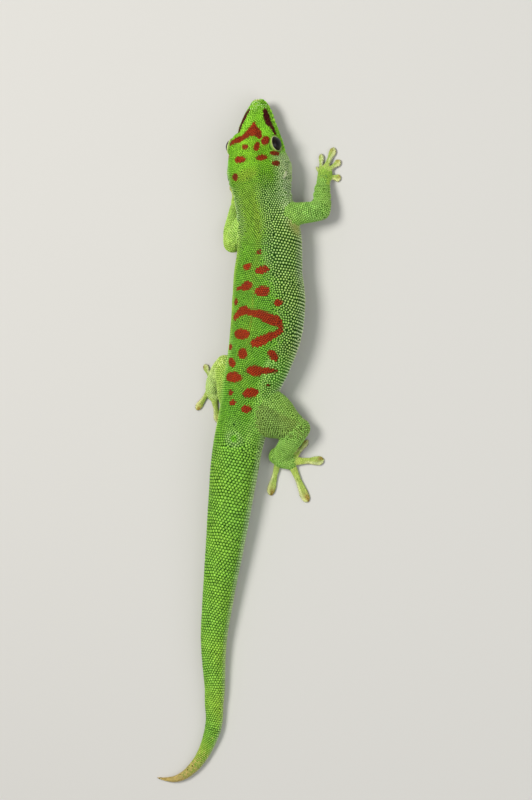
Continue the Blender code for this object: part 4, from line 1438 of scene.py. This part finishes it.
def set_rows(ground, points, wide, long, height, name, aside):
    """Scales of a special kind, set on the skin at these points."""
    surface, chart, spots = ground
    point, normal, _ = surface.nearest(np.asarray(points))
    rows = chart.read(point)
    n = len(point)
    rows.update(point=point, normal=normal, aside=aside, map=map_places(chart, spots, rows))
    sizes = {"wide": wide, "long": long, "height": height, "lean": 0.0, "crown": CROWN_SHARE}
    for key, value in sizes.items():
        rows[key] = np.broadcast_to(np.asarray(value, float), n)
    shade = 1 + 0.07 * RANDOM.normal(0, 1, n)
    rows["tones"] = COLOURS[name] * shade[:, None, None]
    return rows


def joined(sets):
    return {key: np.concatenate([rows[key] for rows in sets]) for key in sets[0]}


def eye_ring_rows(ground):
    """Rings of small scales round each eye."""
    sets = []
    for side in (-1, 1):
        turn, centre = eye_basis(side), np.array(eye_centre(side))
        for reach, out, count, name in EYE_RINGS:
            a = (np.arange(count) + 0.5 * (name == "crown")) * 2 * math.pi / count
            local = np.stack([np.cos(a) * reach, np.sin(a) * reach, np.full(count, out)], axis=1)
            tangent = np.stack([-np.sin(a), np.cos(a), np.zeros(count)], axis=1) @ turn.T
            size = 2 * math.pi * reach / count
            points = centre + local @ turn.T
            sets.append(set_rows(ground, points, size * 0.52, size * 0.5, size * 0.3, name, tangent))
    return joined(sets)


def lip_rows(ground):
    """The plates of the upper and lower lip, longest at the snout."""
    sets = []
    for lift, name in ((0.66, "snout"), (-0.66, "belly")):
        path = mouth_path(lift, 400)
        at = lengths_along(path)
        middle = at[-1] / 2
        sizes, reach = [], 0.0
        while reach < middle - 1.0:
            sizes.append(2.1 - 1.1 * reach / middle)
            reach += sizes[-1]
        sizes = np.array(sizes)
        for side in (-1, 1):
            places = middle + side * (np.cumsum(sizes) - sizes / 2)
            points = between(places, at, path)
            ways = between(places + 0.3, at, path) - points
            sets.append(set_rows(ground, points, sizes * 0.5, 0.52, 0.16, name, ways))
    return joined(sets)


def lamella_rows(ground):
    """The broad plates under the toe pads."""
    sets = []
    for digits in DIGITS.values():
        for root, tip, pad in digits:
            root, tip = np.array(root), np.array(tip)
            length = np.linalg.norm(tip - root)
            count = max(4, round(length * 0.62 / 0.6))
            share = np.linspace(0.4, 0.98, count)
            points = np.column_stack([root + np.outer(share, tip - root), np.full(count, -1.0)])
            wide = pad * np.interp(share, [0.4, 0.62, 0.8, 0.92, 1.0], [0.5, 0.7, 0.85, 0.7, 0.4])
            ahead = (tip - root) / length
            aside = np.tile([-ahead[1], ahead[0], 0.0], (count, 1))
            sets.append(set_rows(ground, points, wide, 0.33, 0.12, "sole", aside))
    return joined(sets)


def new_look(name):
    """A new material, its nodes and its shader."""
    made = bpy.data.materials.new(name)
    made.use_nodes = True
    return made, made.node_tree, made.node_tree.nodes["Principled BSDF"]


def feed(tree, node, inputs):
    """Gives each of a node's inputs its value, or the output that it is linked to."""
    for name, value in inputs.items():
        if isinstance(value, bpy.types.NodeSocket):
            tree.links.new(value, node.inputs[name])
        else:
            node.inputs[name].default_value = value


def add_node(tree, kind, inputs, **settings):
    made = tree.nodes.new("ShaderNode" + kind)
    for name, value in settings.items():
        setattr(made, name, value)
    feed(tree, made, inputs)
    return made.outputs


def add_ramp(tree, value, stops):
    """A run of colours through these stops."""
    ramp = tree.nodes.new("ShaderNodeValToRGB")
    elements = ramp.color_ramp.elements
    while len(elements) < len(stops):
        elements.new(0.5)
    for element, (position, colour) in zip(elements, stops):
        element.position = position
        element.color = (*colour, 1.0)
    tree.links.new(value, ramp.inputs["Fac"])
    return ramp.outputs["Color"]


def surface_look(name, roughness, bump, grain):
    """Skin that takes its colours from the mesh, with fine mottling, sheen and grain of its own."""
    made, tree, shader = new_look(name)
    colour = add_node(tree, "Attribute", {}, attribute_name="Colour")["Color"]
    place = add_node(tree, "TexCoord", {})["Object"]
    mottle = add_node(tree, "TexNoise", {"Vector": place, "Scale": 420.0, "Detail": 4.0})["Fac"]
    ramp = add_ramp(tree, mottle, MOTTLE)
    tint = add_node(
        tree, "Mix", {"Factor": 1.0, 6: colour, 7: ramp}, data_type="RGBA", blend_type="MULTIPLY"
    )[2]
    fine = add_node(tree, "TexNoise", {"Vector": place, "Scale": grain, "Detail": 3.0})["Fac"]
    ends = {"Value": fine, "To Min": roughness - 0.08, "To Max": roughness + 0.1}
    relief = {"Height": fine, "Strength": bump, "Distance": 0.00008}
    feed(tree, shader, {
        "Base Color": tint,
        "Roughness": add_node(tree, "MapRange", ends)["Result"],
        "Normal": add_node(tree, "Bump", relief)["Normal"],
        "Specular IOR Level": 0.14,
        "Subsurface Weight": 0.12,
        "Subsurface Radius": (0.0006, 0.0008, 0.0003),
        "Subsurface Scale": 1.0,
    })
    return made


def eye_look():
    """A round dark pupil in a dark brown iris with fine rays, under a clear glossy cover."""
    made, tree, shader = new_look("eye")
    gaze = add_node(tree, "Attribute", {}, attribute_name="Gaze")["Fac"]
    place = add_node(tree, "TexCoord", {})["Object"]
    rays = add_node(tree, "TexNoise", {"Vector": place, "Scale": 900.0, "Detail": 5.0})["Fac"]
    uneven = add_node(tree, "Math", {0: rays, 1: 0.07, 2: gaze}, operation="MULTIPLY_ADD")["Value"]
    feed(tree, shader, {
        "Base Color": add_ramp(tree, uneven, IRIS),
        "Roughness": 0.3,
        "Specular IOR Level": 0.1,
        "Coat Weight": 0.3,
        "Coat Roughness": 0.02,
    })
    return made


def build_eye(side, word, look):
    """The eyeball, finer than the solid's, with each point's angle from the way that it looks."""
    made = ellipsoid("eyeball_" + word, eye_centre(side), (EYE_RADIUS,) * 3, eye_matrix(side), 64, 48)
    made.data.materials.append(look)
    reach, out = eye_polar(read_points(made.data)[0], side)
    gaze = made.data.attributes.new(name="Gaze", type="FLOAT", domain="POINT")
    gaze.data.foreach_set("value", (np.arctan2(reach, out) / math.radians(75)).astype(np.float32))
    made.data.shade_smooth()
    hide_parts("eye_" + word)
    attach(made, "root")


def finish_skin(skin, points, chart, look):
    """Paints the skin in the colours of the scales' feet, darker as painted shade between the scales, and
    puts it in place of the flesh.
    """
    shades = tones(chart, chart.read(points), points, np.zeros(len(points)))
    colours = np.ones((len(points), 4))
    colours[:, :3] = shades[:, 2] * SKIN_SHADE
    # painted shade: the seam of the mouth is painted dark
    off = points[:, 2] - mouth_height(points[:, 1])
    colours[(points[:, 1] > MOUTH[-1][0]) & (np.abs(off) < 0.3), :3] = COLOURS["mouth"][1]
    paint(skin.data, colours)
    skin.data.materials.append(look)
    nodes = [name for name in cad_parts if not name.startswith("eye_")]
    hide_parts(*nodes)
    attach(skin, "root")


def area_light(name, place, size, power, tint):
    lamp = bpy.data.lights.new(name, "AREA")
    lamp.shape = "DISK"
    lamp.size = size
    lamp.energy = power
    lamp.color = tint
    made = shown(name, lamp)
    made.location = place
    made.rotation_euler = (Vector(place) - Vector(FRAME_SHIFT * MM)).to_track_quat("Z", "Y").to_euler()


def set_stage():
    """The pale floor, the soft lights and the camera."""
    shape = bmesh.new()
    bmesh.ops.create_grid(shape, x_segments=1, y_segments=1, size=3.0)
    floor = shown_mesh("floor", shape)
    look, tree, shader = new_look("floor")
    feed(tree, shader, {"Base Color": FLOOR_COLOUR, "Roughness": 0.85})
    floor.data.materials.append(look)
    for light in LIGHTS:
        area_light(*light)
    world = bpy.data.worlds.new("studio")
    world.use_nodes = True
    sky = {"Color": (1.0, 1.0, 1.0, 1.0), "Strength": SKY_LIGHT}
    feed(world.node_tree, world.node_tree.nodes["Background"], sky)
    scene = bpy.context.scene
    scene.world = world
    scene.view_settings.view_transform = "Standard"
    camera = bpy.data.cameras.new("camera")
    camera.lens = LENS
    camera.sensor_fit = "VERTICAL"
    camera.sensor_height = SENSOR
    scene.camera = shown("camera", camera)
    tilt = math.radians(TILT)
    back = Vector((math.sin(tilt), 0.0, math.cos(tilt)))
    across = Vector((0.0, 1.0, 0.0)).cross(back)
    turn = Matrix((across, back.cross(across), back)).transposed()
    target = Vector(FRAME_SHIFT * MM)
    scene.camera.matrix_world = Matrix.Translation(target + back * DISTANCE) @ turn.to_4x4()


def main():
    set_stage()
    chart = Chart()
    spots = atlas(chart)
    skin = build_skin()
    look, toe_look, skin_look = (surface_look(*row) for row in LOOKS)
    surface = Surface(skin.data)
    scales = place_scales(surface, chart)
    finish_skin(skin, surface.points, chart, skin_look)
    dress(chart, spots, scales)
    build_coat(chart, scales, look, toe_look)
    ground = (surface, chart, spots)
    build_scales("scales_round_eyes", eye_ring_rows(ground), 6, look, "scaled_skin")
    build_scales("lip_plates", lip_rows(ground), 8, look, "scaled_skin", 3.2)
    build_scales("toe_lamellae", lamella_rows(ground), 8, toe_look, "digit_skin", 3.0)
    eyes = eye_look()
    build_eye(-1, "left", eyes)
    build_eye(1, "right", eyes)


main()
